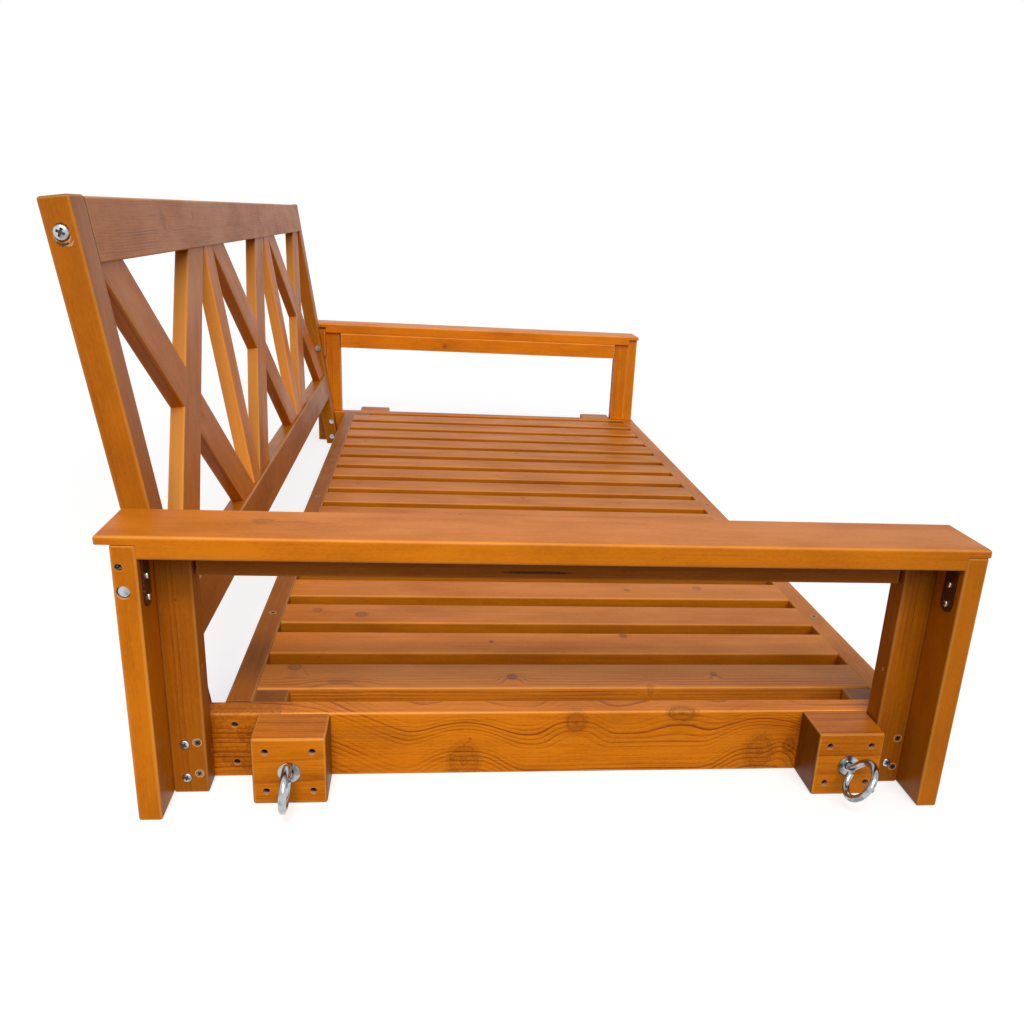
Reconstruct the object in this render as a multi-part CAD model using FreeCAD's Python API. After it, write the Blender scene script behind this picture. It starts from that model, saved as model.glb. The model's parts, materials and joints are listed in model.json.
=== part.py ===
import FreeCAD, Part
import math
import os

# Porch swing bed: slatted deck, L posts, rabbeted arms, leaning crossed back, eye bolts on hanger blocks.
# X runs along the bed (left end at -X), the open front is at -Y, Z is up. Sizes in millimetres.

# Overall size
length_over_posts = 2300.0
depth_over_posts = 998.0

# Posts
post_outer_w = 100.0
post_outer_t = 27.0
post_inner_w = 42.0
post_inner_t = 38.0

# Arms and aprons
arm_under = 324.0
arm_t = 27.0
arm_lap_t = 10.0
arm_over_rear = 16.0
arm_over_front = 3.0
arm_over_inside = 10.0
apron_h = 42.0
apron_end_gap = 2.5

# Deck rails
rail_h = 90.0
rail_t = 34.0
rear_rail_setback = 80.0

# Slats and the groove that holds them
slat_count = 17
slat_fill = 2.0 / 3.0
slat_t = 25.0
tongue_t = 9.0
groove_depth = 24.0
groove_head_gap = 0.5
groove_end_gap = 1.0
groove_side_gap = 3.0
pin_every = 3

# Corner blocks
corner_block_w = 42.0
corner_block_gap = 3.0
corner_block_drop = 1.5

# Leaning back
lean_deg = 8.7
back_foot_setback = 63.0
stile_t = 52.0
stile_w = 34.0
stile_run = 693.0
stile_top_round = 3.5
top_rail_h = 71.0
top_rail_drop = 1.5
bottom_rail_h = 67.0
bottom_rail_start = 146.0
divider_w = 70.0
divider_t = 23.0
brace_w = 74.0
brace_t = 21.0

# Hanger blocks
hanger_w = 89.0
hanger_d = 68.0
hanger_rear_inset = 171.0
hanger_front_inset = 115.0
hanger_screw_spread = 56.0
hanger_screw_rise = 54.0
hanger_screw_recess = 14.0

# Eye bolts
eye_ring_r = 25.0
eye_wire_r = 4.75
eye_reach = 40.5
eye_end_gap = 1.2
eye_front_turn_deg = 31.0
eye_rear_turn_deg = 5.0
eye_hole_gap = 0.5
eye_tail = 5.0
swivel_gap = 0.4
eye_nut_flats = 14.0
eye_nut_h = 8.0
washer_r = 13.5
washer_hole_gap = 1.2
washer_t = 2.5

# Bolts
bolt_r = 3.0
bolt_hole_gap = 0.4
bolt_head_r = 6.0
bolt_head_h = 3.2
cap_r = 4.0
cap_head_r = 6.3
cap_head_h = 8.0
cap_bore_depth = 12.0
cap_bore_gap = 1.5
bolt_nut_flats = 10.0
bolt_nut_h = 5.0
bolt_washer_r = 7.0
cap_nut_flats = 13.0
cap_nut_h = 6.5
cap_washer_r = 8.5
bolt_washer_t = 1.6
bolt_tail = 3.0
thread_gap = 0.05
rear_bolt_inset = 44.0
rear_bolt_low = 22.0
rear_bolt_high = 68.0
front_bolt_inset = 47.0
front_bolt_z = 31.0
cap_bolt_inset = 10.0
cap_bolt_drop = 54.0
back_bolt_r = 4.0
back_bolt_head_r = 8.4
back_bolt_head_h = 4.5
back_bolt_bite = 60.0

# Wood screws
screw_r = 2.4
screw_head_r = 4.4
screw_head_h = 3.0
screw_tip = 5.0
screw_gap = 0.15
recess_gap = 0.3
edge_screw_inset = 8.0
edge_screw_drop = 25.0
edge_screw_recess = 5.0
edge_screw_bite = 25.0
rear_post_screw_inset = 59.0
rear_post_screw_lift = 3.0
front_post_screw_inset = 37.0
post_screw_low = 24.0
post_screw_high = 67.0
post_screw_bite = 26.0
rail_screw_low = 21.0
rail_screw_high = 74.0
rail_screw_bite = 28.0
rail_screw_recess = 10.0
hanger_screw_bite = 26.0
side_screw_low = 130.0
side_screw_high = 250.0
side_screw_bite = 34.0
apron_screw_spread = 300.0
apron_screw_bite = 15.0
pin_run = 40.0

# Angle brackets
bracket_leg = 60.0
bracket_w = 26.0
bracket_t = 2.5
bracket_inset = 13.0
bracket_end_share = 0.42
bracket_screw_near = 25.0
bracket_screw_far = 50.0
bracket_screw_run = 20.0

# Spacers and dowels
spacer_h = 78.0
spacer_drop = 5.0
dowel_r = 6.0
dowel_run = 60.0
dowel_gap = 0.05

# Eased edges
ease = 3.0
arm_ease = 4.0
brace_ease = 2.0
block_ease = 3.5
straight_tol = 0.001

V = FreeCAD.Vector
ORIGIN = V(0, 0, 0)
AXIS_X = V(1, 0, 0)
AXIS_Y = V(0, 1, 0)
AXIS_Z = V(0, 0, 1)

# Values that follow from the sizes above
end_x = length_over_posts / 2
face_y = depth_over_posts / 2
post_in_x = end_x - post_outer_w
rail_in_x = post_in_x - rail_t
stile_in_x = rail_in_x - stile_t
post_in_y = face_y - post_outer_t
inner_board_y = post_in_y - post_inner_w
inner_board_out_x = post_in_x + post_inner_t
post_top = arm_under + arm_t - arm_lap_t
cap_bolt_z = post_top - cap_bolt_drop
edge_screw_z = post_top - edge_screw_drop
spacer_high = post_top - spacer_drop
spacer_low = spacer_high - spacer_h
rear_rail_y = face_y - rear_rail_setback
rear_in_y = rear_rail_y - rail_t
front_in_y = face_y - rail_t
slat_under = rail_h - slat_t
inner_length = 2 * rail_in_x
slat_pitch = inner_length / (slat_count + 1 - slat_fill)
slat_w = slat_fill * slat_pitch
slat_gap = slat_pitch - slat_w
hanger_face_x = post_in_x + hanger_d
hanger_z = rail_h / 2
back_foot_y = face_y - back_foot_setback
top_rail_high = stile_run - top_rail_drop
top_rail_low = top_rail_high - top_rail_h
bottom_rail_high = bottom_rail_start + bottom_rail_h
panel_w = (2 * stile_in_x - 2 * divider_w) / 3
panel_h = top_rail_low - bottom_rail_high
panel_mid = (top_rail_low + bottom_rail_high) / 2
brace_angle = math.degrees(math.atan2(panel_h, panel_w) + math.asin(brace_w / math.hypot(panel_w, panel_h)))
brace_run = 2 * (panel_w + panel_h)
bolt_hole_r = bolt_r + bolt_hole_gap
cap_hole_r = cap_r + bolt_hole_gap
back_hole_r = back_bolt_r + bolt_hole_gap
eye_hole_r = eye_wire_r + eye_hole_gap
washer_hole_r = eye_wire_r + washer_hole_gap
bracket_end_r = bracket_end_share * bracket_w
HANGER_YS = {"rear": face_y - hanger_rear_inset, "front": hanger_front_inset - face_y}
EYE_TURNS = {"rear": eye_rear_turn_deg, "front": eye_front_turn_deg}
POST_BOLT = (bolt_r, bolt_head_r, bolt_head_h)
BACK_BOLT = (back_bolt_r, back_bolt_head_r, back_bolt_head_h)
POST_NUT = (bolt_washer_r, bolt_hole_r, bolt_nut_flats, bolt_nut_h, bolt_r)
CAP_NUT = (cap_washer_r, cap_hole_r, cap_nut_flats, cap_nut_h, cap_r)


# Basic shapes

def box(x0, x1, y0, y1, z0, z1):
    """Plain box between two corners."""
    return Part.makeBox(x1 - x0, y1 - y0, z1 - z0, V(x0, y0, z0))


def rounded(shape, axis, radius):
    """Round the straight edges that run along one axis."""
    edges = []
    for edge in shape.Edges:
        run = edge.Vertexes[-1].Point.sub(edge.Vertexes[0].Point)
        if run.Length - abs(run.dot(axis)) < straight_tol:
            edges.append(edge)
    return shape.makeFillet(radius, edges)


def board(x0, x1, y0, y1, z0, z1, axis, radius):
    """Box with its long edges eased."""
    return rounded(box(x0, x1, y0, y1, z0, z1), axis, radius)


def eased_block(x0, x1, y0, y1, z0, z1, radius):
    """Box with every edge eased."""
    block = box(x0, x1, y0, y1, z0, z1)
    return block.makeFillet(radius, block.Edges)


def turned(outline, at, direction):
    """Round solid from (distance along, radius) corners, set at a point along a direction."""
    corners = [V(along, radius, 0) for along, radius in outline]
    corners.append(corners[0])
    solid = Part.Face(Part.makePolygon(corners)).revolve(ORIGIN, AXIS_X, 360)
    solid.Placement = FreeCAD.Placement(at, FreeCAD.Rotation(AXIS_X, direction))
    return solid


def rod(at, direction, radius, run):
    """Plain round bar."""
    return Part.makeCylinder(radius, run, at, direction)


def along(at, direction, distance):
    """Point a distance away from another."""
    return at.add(V(direction).multiply(distance))


def mirrored(shape):
    """The same piece at the other end of the bed."""
    return shape.mirror(ORIGIN, AXIS_X)


def lean(shape):
    """Tip a piece of the back from upright to its lean and move it to the back of the bed."""
    tipped = shape.copy()
    tipped.rotate(ORIGIN, AXIS_X, -lean_deg)
    tipped.translate(V(0, back_foot_y, 0))
    return tipped


def lean_point(x, depth, run):
    """Point of the leaning back, from its place in the upright back."""
    slope = math.radians(lean_deg)
    y = depth * math.cos(slope) + run * math.sin(slope)
    z = run * math.cos(slope) - depth * math.sin(slope)
    return V(x, y + back_foot_y, z)


def drilled(shape, cutters):
    """Cut every hole out of a piece."""
    return shape.cut(Part.makeCompound(cutters)) if cutters else shape


# Fasteners

def screw(at, direction, run):
    """Countersunk wood screw, head flush at the given point."""
    outline = [(0, 0), (0, screw_head_r), (screw_head_h, screw_r), (run - screw_tip, screw_r), (run, 0)]
    return turned(outline, at, direction)


def screw_hole(at, direction, run):
    """Countersunk hole for a wood screw."""
    hole_r = screw_r + screw_gap
    taper_run = screw_head_h * (screw_head_r - hole_r) / (screw_head_r - screw_r)
    deep = run + screw_gap
    return turned([(0, 0), (0, screw_head_r), (taper_run, hole_r), (deep, hole_r), (deep, 0)], at, direction)


def dome_bolt(at, direction, run, shank_r, head_r, head_h):
    """Round-headed bolt seated on a face."""
    sphere_r = (head_r ** 2 + head_h ** 2) / (2 * head_h)
    middle = along(at, direction, sphere_r - head_h)
    outward = V(direction).multiply(-1)
    head = Part.makeSphere(sphere_r, middle).common(rod(at, outward, head_r, head_h))
    return head.fuse(rod(at, direction, shank_r, run)).removeSplitter()


def cap_bolt(at, direction, run):
    """Bolt with a straight-sided head, seated at the bottom of a bore."""
    head = [(-cap_head_h, 0), (-cap_head_h, cap_head_r), (0, cap_head_r)]
    return turned(head + [(0, cap_r), (run, cap_r), (run, 0)], at, direction)


def hex_nut(at, direction, flats, height, bore_r):
    """Hexagon nut with its near face at the given point."""
    reach = flats / math.sqrt(3)
    corners = [V(0, reach * math.cos(k * math.pi / 3), reach * math.sin(k * math.pi / 3)) for k in range(7)]
    nut = Part.Face(Part.makePolygon(corners)).extrude(V(height, 0, 0))
    nut.Placement = FreeCAD.Placement(at, FreeCAD.Rotation(AXIS_X, direction))
    return nut.cut(rod(at, direction, bore_r, height))


def washer(at, direction, radius, thickness, bore_r):
    """Flat washer with its near face at the given point."""
    return rod(at, direction, radius, thickness).cut(rod(at, direction, bore_r, thickness))


def tighten(at, washer_radius, hole_r, flats, height, shank_r):
    """Washer and nut on the inner end of a bolt at the left end of the bed."""
    gather("washers", washer(at, AXIS_X, washer_radius, bolt_washer_t, hole_r))
    nut_seat = along(at, AXIS_X, bolt_washer_t)
    gather("bolt_nuts", hex_nut(nut_seat, AXIS_X, flats, height, shank_r + thread_gap))


# Pieces gathered by name, and fasteners gathered by group

pieces = {}
groups = {}


def add(name, shape):
    """Keep a finished piece under its name."""
    pieces[name] = shape


def gather(name, shape):
    """Add a piece to a group of like pieces, at both ends of the bed."""
    groups.setdefault(name, []).extend([shape, mirrored(shape)])


# Left end of the bed

left_x = -end_x
OUT_X = V(-1, 0, 0)
end_rail_holes = []
stile_holes = []
rear_rail_holes = []
front_rail_holes = []
front_corner_holes = []
post_outer_holes = {"rear": [], "front": []}
post_inner_holes = {"rear": [], "front": []}
spacer_holes = []
arm_holes = []
apron_holes = []
hanger_holes = {"rear": [], "front": []}
top_rail_holes = []
bottom_rail_holes = []

# Bolts and screws of the inner post boards

board_face_x = -inner_board_out_x
rear_bolt_y = face_y - rear_bolt_inset
through_stile = post_inner_t + rail_t + stile_t
bolt_end = bolt_washer_t + bolt_nut_h + bolt_tail
for z in (rear_bolt_low, rear_bolt_high):
    seat = V(board_face_x, rear_bolt_y, z)
    gather("machine_bolts", dome_bolt(seat, AXIS_X, through_stile + bolt_end, *POST_BOLT))
    hole = rod(seat, AXIS_X, bolt_hole_r, through_stile)
    post_inner_holes["rear"].append(hole)
    end_rail_holes.append(hole)
    stile_holes.append(hole)
    tighten(along(seat, AXIS_X, through_stile), *POST_NUT)

corner_block_l = slat_gap - corner_block_gap
through_corner = post_inner_t + rail_t + corner_block_l
front_seat = V(board_face_x, front_bolt_inset - face_y, front_bolt_z)
gather("machine_bolts", dome_bolt(front_seat, AXIS_X, through_corner + bolt_end, *POST_BOLT))
hole = rod(front_seat, AXIS_X, bolt_hole_r, through_corner)
post_inner_holes["front"].append(hole)
end_rail_holes.append(hole)
front_corner_holes.append(hole)
tighten(along(front_seat, AXIS_X, through_corner), *POST_NUT)

post_screw_run = post_inner_t + post_screw_bite
for where, y, lift in (
        ("rear", face_y - rear_post_screw_inset, rear_post_screw_lift),
        ("front", front_post_screw_inset - face_y, 0)):
    for z in (post_screw_low, post_screw_high):
        at = V(board_face_x, y, z + lift)
        gather("wood_screws", screw(at, AXIS_X, post_screw_run))
        hole = screw_hole(at, AXIS_X, post_screw_run)
        post_inner_holes[where].append(hole)
        end_rail_holes.append(hole)

# Bolt and screw in the edge of the rear outer post board

cap_y = face_y - cap_bolt_inset
cap_run = post_outer_w - cap_bore_depth + rail_t + stile_t
cap_seat = V(left_x + cap_bore_depth, cap_y, cap_bolt_z)
cap_end = bolt_washer_t + cap_nut_h + bolt_tail
gather("machine_bolts", cap_bolt(cap_seat, AXIS_X, cap_run + cap_end))
cap_hole = rod(cap_seat, AXIS_X, cap_hole_r, cap_run)
cap_bore = rod(V(left_x, cap_y, cap_bolt_z), AXIS_X, cap_head_r + cap_bore_gap, cap_bore_depth)
post_outer_holes["rear"].extend([cap_hole, cap_bore])
spacer_holes.append(cap_hole)
stile_holes.append(cap_hole)
tighten(along(cap_seat, AXIS_X, cap_run), *CAP_NUT)

edge_run = post_outer_w - edge_screw_recess + rail_t + edge_screw_bite
mouth = V(left_x, face_y - edge_screw_inset, edge_screw_z)
at = along(mouth, AXIS_X, edge_screw_recess)
gather("wood_screws", screw(at, AXIS_X, edge_run))
hole = screw_hole(at, AXIS_X, edge_run)
bore = rod(mouth, AXIS_X, screw_head_r + recess_gap, edge_screw_recess)
post_outer_holes["rear"].extend([hole, bore])
spacer_holes.append(hole)
stile_holes.append(hole)

# Bolts from the stiles into the back rails

back_run = stile_t + back_bolt_bite
for rail_low, rail_high, holes in (
        (top_rail_low, top_rail_high, top_rail_holes),
        (bottom_rail_start, bottom_rail_high, bottom_rail_holes)):
    seat = lean_point(-rail_in_x, stile_w / 2, (rail_low + rail_high) / 2)
    gather("machine_bolts", dome_bolt(seat, AXIS_X, back_run, *BACK_BOLT))
    hole = rod(seat, AXIS_X, back_hole_r, back_run + bolt_hole_gap)
    stile_holes.append(hole)
    holes.append(hole)

# Screws from the end rail into the long rails

rail_screw_run = rail_t - rail_screw_recess + rail_screw_bite
long_rail_ys = ((rear_rail_y - rail_t / 2, rear_rail_holes), (rail_t / 2 - face_y, front_rail_holes))
for y, holes in long_rail_ys:
    for z in (rail_screw_low, rail_screw_high):
        mouth = V(-post_in_x, y, z)
        at = along(mouth, AXIS_X, rail_screw_recess)
        gather("wood_screws", screw(at, AXIS_X, rail_screw_run))
        hole = screw_hole(at, AXIS_X, rail_screw_run)
        bore = rod(mouth, AXIS_X, screw_head_r + recess_gap, rail_screw_recess)
        end_rail_holes.extend([hole, bore])
        holes.append(hole)

# Screws from the outer post boards into the inner ones

side_run = post_outer_t + side_screw_bite
side_x = -(post_in_x + inner_board_out_x) / 2
for where, y, direction in (("rear", face_y, V(0, -1, 0)), ("front", -face_y, AXIS_Y)):
    for z in (side_screw_low, side_screw_high):
        at = V(side_x, y, z)
        gather("wood_screws", screw(at, direction, side_run))
        hole = screw_hole(at, direction, side_run)
        post_outer_holes[where].append(hole)
        post_inner_holes[where].append(hole)

# Hanger blocks, their screws and the eye bolts

hanger_front_x = -hanger_face_x
hanger_screw_run = hanger_d - hanger_screw_recess + hanger_screw_bite
eye_through = hanger_d + rail_t
for where, y in HANGER_YS.items():
    for side in (-1, 1):
        for level in (-1, 1):
            screw_y = y + side * hanger_screw_spread / 2
            screw_z = hanger_z + level * hanger_screw_rise / 2
            mouth = V(hanger_front_x, screw_y, screw_z)
            at = along(mouth, AXIS_X, hanger_screw_recess)
            gather("wood_screws", screw(at, AXIS_X, hanger_screw_run))
            hole = screw_hole(at, AXIS_X, hanger_screw_run)
            bore = rod(mouth, AXIS_X, screw_head_r + recess_gap, hanger_screw_recess)
            hanger_holes[where].extend([hole, bore])
            end_rail_holes.append(hole)
    mouth = V(hanger_front_x, y, hanger_z)
    hole = rod(mouth, AXIS_X, eye_hole_r, eye_through)
    hanger_holes[where].append(hole)
    end_rail_holes.append(hole)
    gather("washers", washer(mouth, OUT_X, washer_r, washer_t, washer_hole_r))
    inside = along(mouth, AXIS_X, eye_through)
    gather("washers", washer(inside, AXIS_X, washer_r, washer_t, washer_hole_r))
    ring_middle = along(mouth, OUT_X, eye_reach)
    shank_start = along(ring_middle, AXIS_X, eye_ring_r)
    nut_seat = along(inside, AXIS_X, washer_t + swivel_gap)
    shank_end = along(nut_seat, AXIS_X, eye_nut_h + eye_tail)
    slit_x0 = shank_start.x - eye_ring_r
    slit_high = hanger_z - eye_wire_r
    slit_x1 = shank_start.x + eye_wire_r
    slit_low = slit_high - eye_end_gap
    slit = box(slit_x0, slit_x1, y - eye_wire_r, y + eye_wire_r, slit_low, slit_high)
    ring = Part.makeTorus(eye_ring_r, eye_wire_r, ring_middle, AXIS_Y).cut(slit)
    shank = rod(shank_start, AXIS_X, eye_wire_r, shank_end.x - shank_start.x)
    eye = ring.fuse(shank).removeSplitter()
    lock_nut = hex_nut(nut_seat, AXIS_X, eye_nut_flats, eye_nut_h, eye_wire_r + thread_gap)
    eye_set = Part.makeCompound([eye, lock_nut])
    eye_set.rotate(mouth, AXIS_X, EYE_TURNS[where])
    add("eye_bolt_left_" + where, eye_set)
    add("eye_bolt_right_" + where, mirrored(eye_set))
    y0 = y - hanger_w / 2
    y1 = y + hanger_w / 2
    block = eased_block(hanger_front_x, -post_in_x, y0, y1, 0, rail_h, block_ease)
    gather("hanger_blocks", drilled(block, hanger_holes[where]))

# Angle brackets under the arm ends

bracket_x0 = left_x + bracket_inset
bracket_x1 = bracket_x0 + bracket_w
bracket_mid_x = (bracket_x0 + bracket_x1) / 2
for where, sign in (("rear", 1), ("front", -1)):
    y_face = sign * post_in_y
    y_thin = sign * (post_in_y - bracket_t)
    y_long = sign * (post_in_y - bracket_leg)
    low = arm_under - bracket_leg
    leaf_low = arm_under - bracket_t
    upright = box(bracket_x0, bracket_x1, min(y_face, y_thin), max(y_face, y_thin), low, arm_under)
    flat = box(bracket_x0, bracket_x1, min(y_face, y_long), max(y_face, y_long), leaf_low, arm_under)
    holes = []
    for step in (bracket_screw_near, bracket_screw_far):
        side_at = V(bracket_mid_x, y_thin, arm_under - step)
        side_dir = V(0, sign, 0)
        top_at = V(bracket_mid_x, sign * (post_in_y - step), leaf_low)
        for at, direction, board_holes in (
                (side_at, side_dir, post_outer_holes[where]),
                (top_at, AXIS_Z, arm_holes)):
            gather("bracket_screws", screw(at, direction, bracket_screw_run))
            hole = screw_hole(at, direction, bracket_screw_run)
            holes.append(hole)
            board_holes.append(hole)
    angle = upright.fuse(flat).removeSplitter()
    end_edges = []
    for edge in angle.Edges:
        middle = edge.CenterOfMass
        upright_end = abs(middle.z - low) < straight_tol and edge.Length - bracket_t < straight_tol
        flat_end = abs(middle.y - y_long) < straight_tol and edge.Length - bracket_t < straight_tol
        if upright_end or flat_end:
            end_edges.append(edge)
    gather("corner_brackets", drilled(angle.makeFillet(bracket_end_r, end_edges), holes))

# Screws from the apron into the arm

arm_x1 = -post_in_x + arm_over_inside
apron_x0 = arm_x1 - post_inner_t
apron_under = arm_under - apron_h
apron_run = apron_h + apron_screw_bite
for step in (-1, 0, 1):
    at = V((apron_x0 + arm_x1) / 2, step * apron_screw_spread, apron_under)
    gather("wood_screws", screw(at, AXIS_Z, apron_run))
    hole = screw_hole(at, AXIS_Z, apron_run)
    apron_holes.append(hole)
    arm_holes.append(hole)

# Boards of the left end, and the same boards at the right end

left = {}
left["end_rail"] = drilled(
    board(-post_in_x, -rail_in_x, -face_y, face_y, 0, rail_h, AXIS_Y, ease), end_rail_holes)
for where, sign in (("rear", 1), ("front", -1)):
    outer_y0 = min(sign * face_y, sign * post_in_y)
    inner_y0 = min(sign * post_in_y, sign * inner_board_y)
    outer = eased_block(left_x, -post_in_x, outer_y0, outer_y0 + post_outer_t, 0, post_top, ease)
    inner = eased_block(board_face_x, -post_in_x, inner_y0, inner_y0 + post_inner_w, 0, arm_under, ease)
    left["post_outer_" + where] = drilled(outer, post_outer_holes[where])
    left["post_inner_" + where] = drilled(inner, post_inner_holes[where])

arm_y0 = -face_y - arm_over_front
arm_y1 = face_y + arm_over_rear
arm = eased_block(left_x, arm_x1, arm_y0, arm_y1, arm_under, arm_under + arm_t, arm_ease)
rear_rabbet = box(left_x, arm_x1, post_in_y, arm_y1, arm_under, post_top)
front_rabbet = box(left_x, arm_x1, arm_y0, -post_in_y, arm_under, post_top)
left["arm"] = drilled(arm, [rear_rabbet, front_rabbet] + arm_holes)
apron_y = inner_board_y - apron_end_gap
apron = board(apron_x0, arm_x1, -apron_y, apron_y, apron_under, arm_under, AXIS_Y, ease)
left["apron"] = drilled(apron, apron_holes)

stile_side = box(-rail_in_x, -stile_in_x, 0, stile_w, -stile_w, stile_run)
top_edges = []
for edge in stile_side.Edges:
    ends = [vertex.Point for vertex in edge.Vertexes]
    at_top = all(abs(point.z - stile_run) < straight_tol for point in ends)
    if at_top and abs(ends[0].y - ends[1].y) < straight_tol:
        top_edges.append(edge)
stile = rounded(stile_side.makeFillet(stile_top_round, top_edges), AXIS_Z, ease)
floor_cut = box(-end_x, end_x, -face_y, 2 * face_y, -face_y, 0)
left["stile"] = drilled(lean(stile).cut(floor_cut), stile_holes)

spacer = box(-post_in_x, -rail_in_x, post_in_y, face_y, spacer_low, spacer_high)
gather("back_spacers", drilled(spacer, spacer_holes))

for name, shape in left.items():
    kind = name.split("_")
    add("_".join(kind[:2] + ["left"] + kind[2:]), shape)
    add("_".join(kind[:2] + ["right"] + kind[2:]), mirrored(shape))

# Long rails with the slat groove, pins on every third slat

pin_steps = range(pin_every - 1, slat_count, pin_every)
slat_starts = [-rail_in_x + slat_gap + k * slat_pitch for k in range(slat_count)]
groove_top = slat_under + tongue_t + groove_head_gap
groove_x = rail_in_x - slat_gap + groove_side_gap
tongue_reach = groove_depth - groove_end_gap
pin_holes = []
for y, in_y, out_y, holes, name in (
        (rear_rail_y - rail_t / 2, rear_in_y, rear_rail_y, rear_rail_holes, "rear_rail"),
        (rail_t / 2 - face_y, -front_in_y, -face_y, front_rail_holes, "front_rail")):
    rail_y0 = min(in_y, out_y)
    deep_y = in_y + math.copysign(groove_depth, out_y)
    groove = box(-groove_x, groove_x, min(in_y, deep_y), max(in_y, deep_y), slat_under, groove_top)
    pins = []
    for k in pin_steps:
        at = V(slat_starts[k] + slat_w / 2, y, rail_h)
        groups.setdefault("wood_screws", []).append(screw(at, V(0, 0, -1), pin_run))
        pins.append(screw_hole(at, V(0, 0, -1), pin_run))
    pin_holes.extend(pins)
    rail = board(-rail_in_x, rail_in_x, rail_y0, rail_y0 + rail_t, 0, rail_h, AXIS_X, ease)
    add(name, drilled(rail, [groove] + pins + holes + [mirrored(hole) for hole in holes]))

for k, x0 in enumerate(slat_starts):
    body = board(x0, x0 + slat_w, -front_in_y, rear_in_y, slat_under, rail_h, AXIS_Y, ease)
    tongue_y0 = -front_in_y - tongue_reach
    tongue_y1 = rear_in_y + tongue_reach
    tongue = box(x0 + ease, x0 + slat_w - ease, tongue_y0, tongue_y1, slat_under, slat_under + tongue_t)
    slat = body.fuse(tongue).removeSplitter()
    add("slat_%02d" % (k + 1), drilled(slat, pin_holes if k in pin_steps else []))

# Corner blocks

for y0, holes in ((rear_in_y - corner_block_w, []), (-front_in_y, front_corner_holes)):
    block = board(-rail_in_x, -rail_in_x + corner_block_l, y0, y0 + corner_block_w,
                  0, rail_h - corner_block_drop, AXIS_Z, block_ease)
    gather("corner_blocks", drilled(block, holes))

# Back rails, dividers, braces and dowels

dowel_cutters = []
divider_mids = (-(panel_w + divider_w) / 2, (panel_w + divider_w) / 2)
for x in divider_mids:
    for run in (bottom_rail_high, top_rail_low):
        foot = V(x, stile_w / 2, run - dowel_run / 2)
        groups.setdefault("divider_dowels", []).append(lean(rod(foot, AXIS_Z, dowel_r, dowel_run)))
        dowel_cutters.append(lean(rod(foot, AXIS_Z, dowel_r + dowel_gap, dowel_run)))

for name, low, high, holes in (
        ("back_top_rail", top_rail_low, top_rail_high, top_rail_holes),
        ("back_bottom_rail", bottom_rail_start, bottom_rail_high, bottom_rail_holes)):
    rail = lean(board(-stile_in_x, stile_in_x, 0, stile_w, low, high, AXIS_X, ease))
    add(name, drilled(rail, holes + [mirrored(hole) for hole in holes] + dowel_cutters))

divider_y0 = (stile_w - divider_t) / 2
for name, x in (("back_divider_left", divider_mids[0]), ("back_divider_right", divider_mids[1])):
    half = divider_w / 2
    divider = board(x - half, x + half, divider_y0, divider_y0 + divider_t,
                    bottom_rail_high, top_rail_low, AXIS_Z, ease)
    add(name, drilled(lean(divider), dowel_cutters))

brace_y0 = (stile_w - brace_t) / 2
for step, name in ((-1, "left"), (0, "middle"), (1, "right")):
    middle_x = step * (panel_w + divider_w)
    middle = V(middle_x, 0, panel_mid)
    x0 = middle_x - brace_run / 2
    z0 = panel_mid - brace_w / 2
    panel = box(middle_x - panel_w / 2, middle_x + panel_w / 2, 0, stile_w, bottom_rail_high, top_rail_low)
    bar = box(x0, x0 + brace_run, brace_y0, brace_y0 + brace_t, z0, z0 + brace_w)
    through = rounded(bar, AXIS_X, brace_ease)
    split = through.copy()
    through.rotate(middle, AXIS_Y, -brace_angle)
    split.rotate(middle, AXIS_Y, brace_angle)
    bar.rotate(middle, AXIS_Y, -brace_angle)
    add("brace_through_" + name, lean(through.common(panel)))
    add("brace_split_" + name, lean(split.common(panel).cut(bar)))

for name, shapes in groups.items():
    add(name, Part.makeCompound(shapes))

# Centre the finished bed front to back and write one file for each piece

whole = Part.makeCompound(list(pieces.values())).optimalBoundingBox(False)
middle_y = (whole.YMin + whole.YMax) / 2
os.makedirs("parts", exist_ok=True)
for name, shape in pieces.items():
    placed = shape.copy()
    placed.translate(V(0, -middle_y, 0))
    placed.exportStep("parts/" + name + ".step")
    print(name, len(placed.Solids), round(placed.Volume))
print("pieces", len(pieces), "middle_y", round(middle_y, 3), "box", whole)
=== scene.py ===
import json
import logging
import math
import random
from dataclasses import dataclass, field, replace
from enum import Enum
from typing import Any

import bmesh
import bpy
import numpy as np
from mathutils import Matrix, Vector


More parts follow.
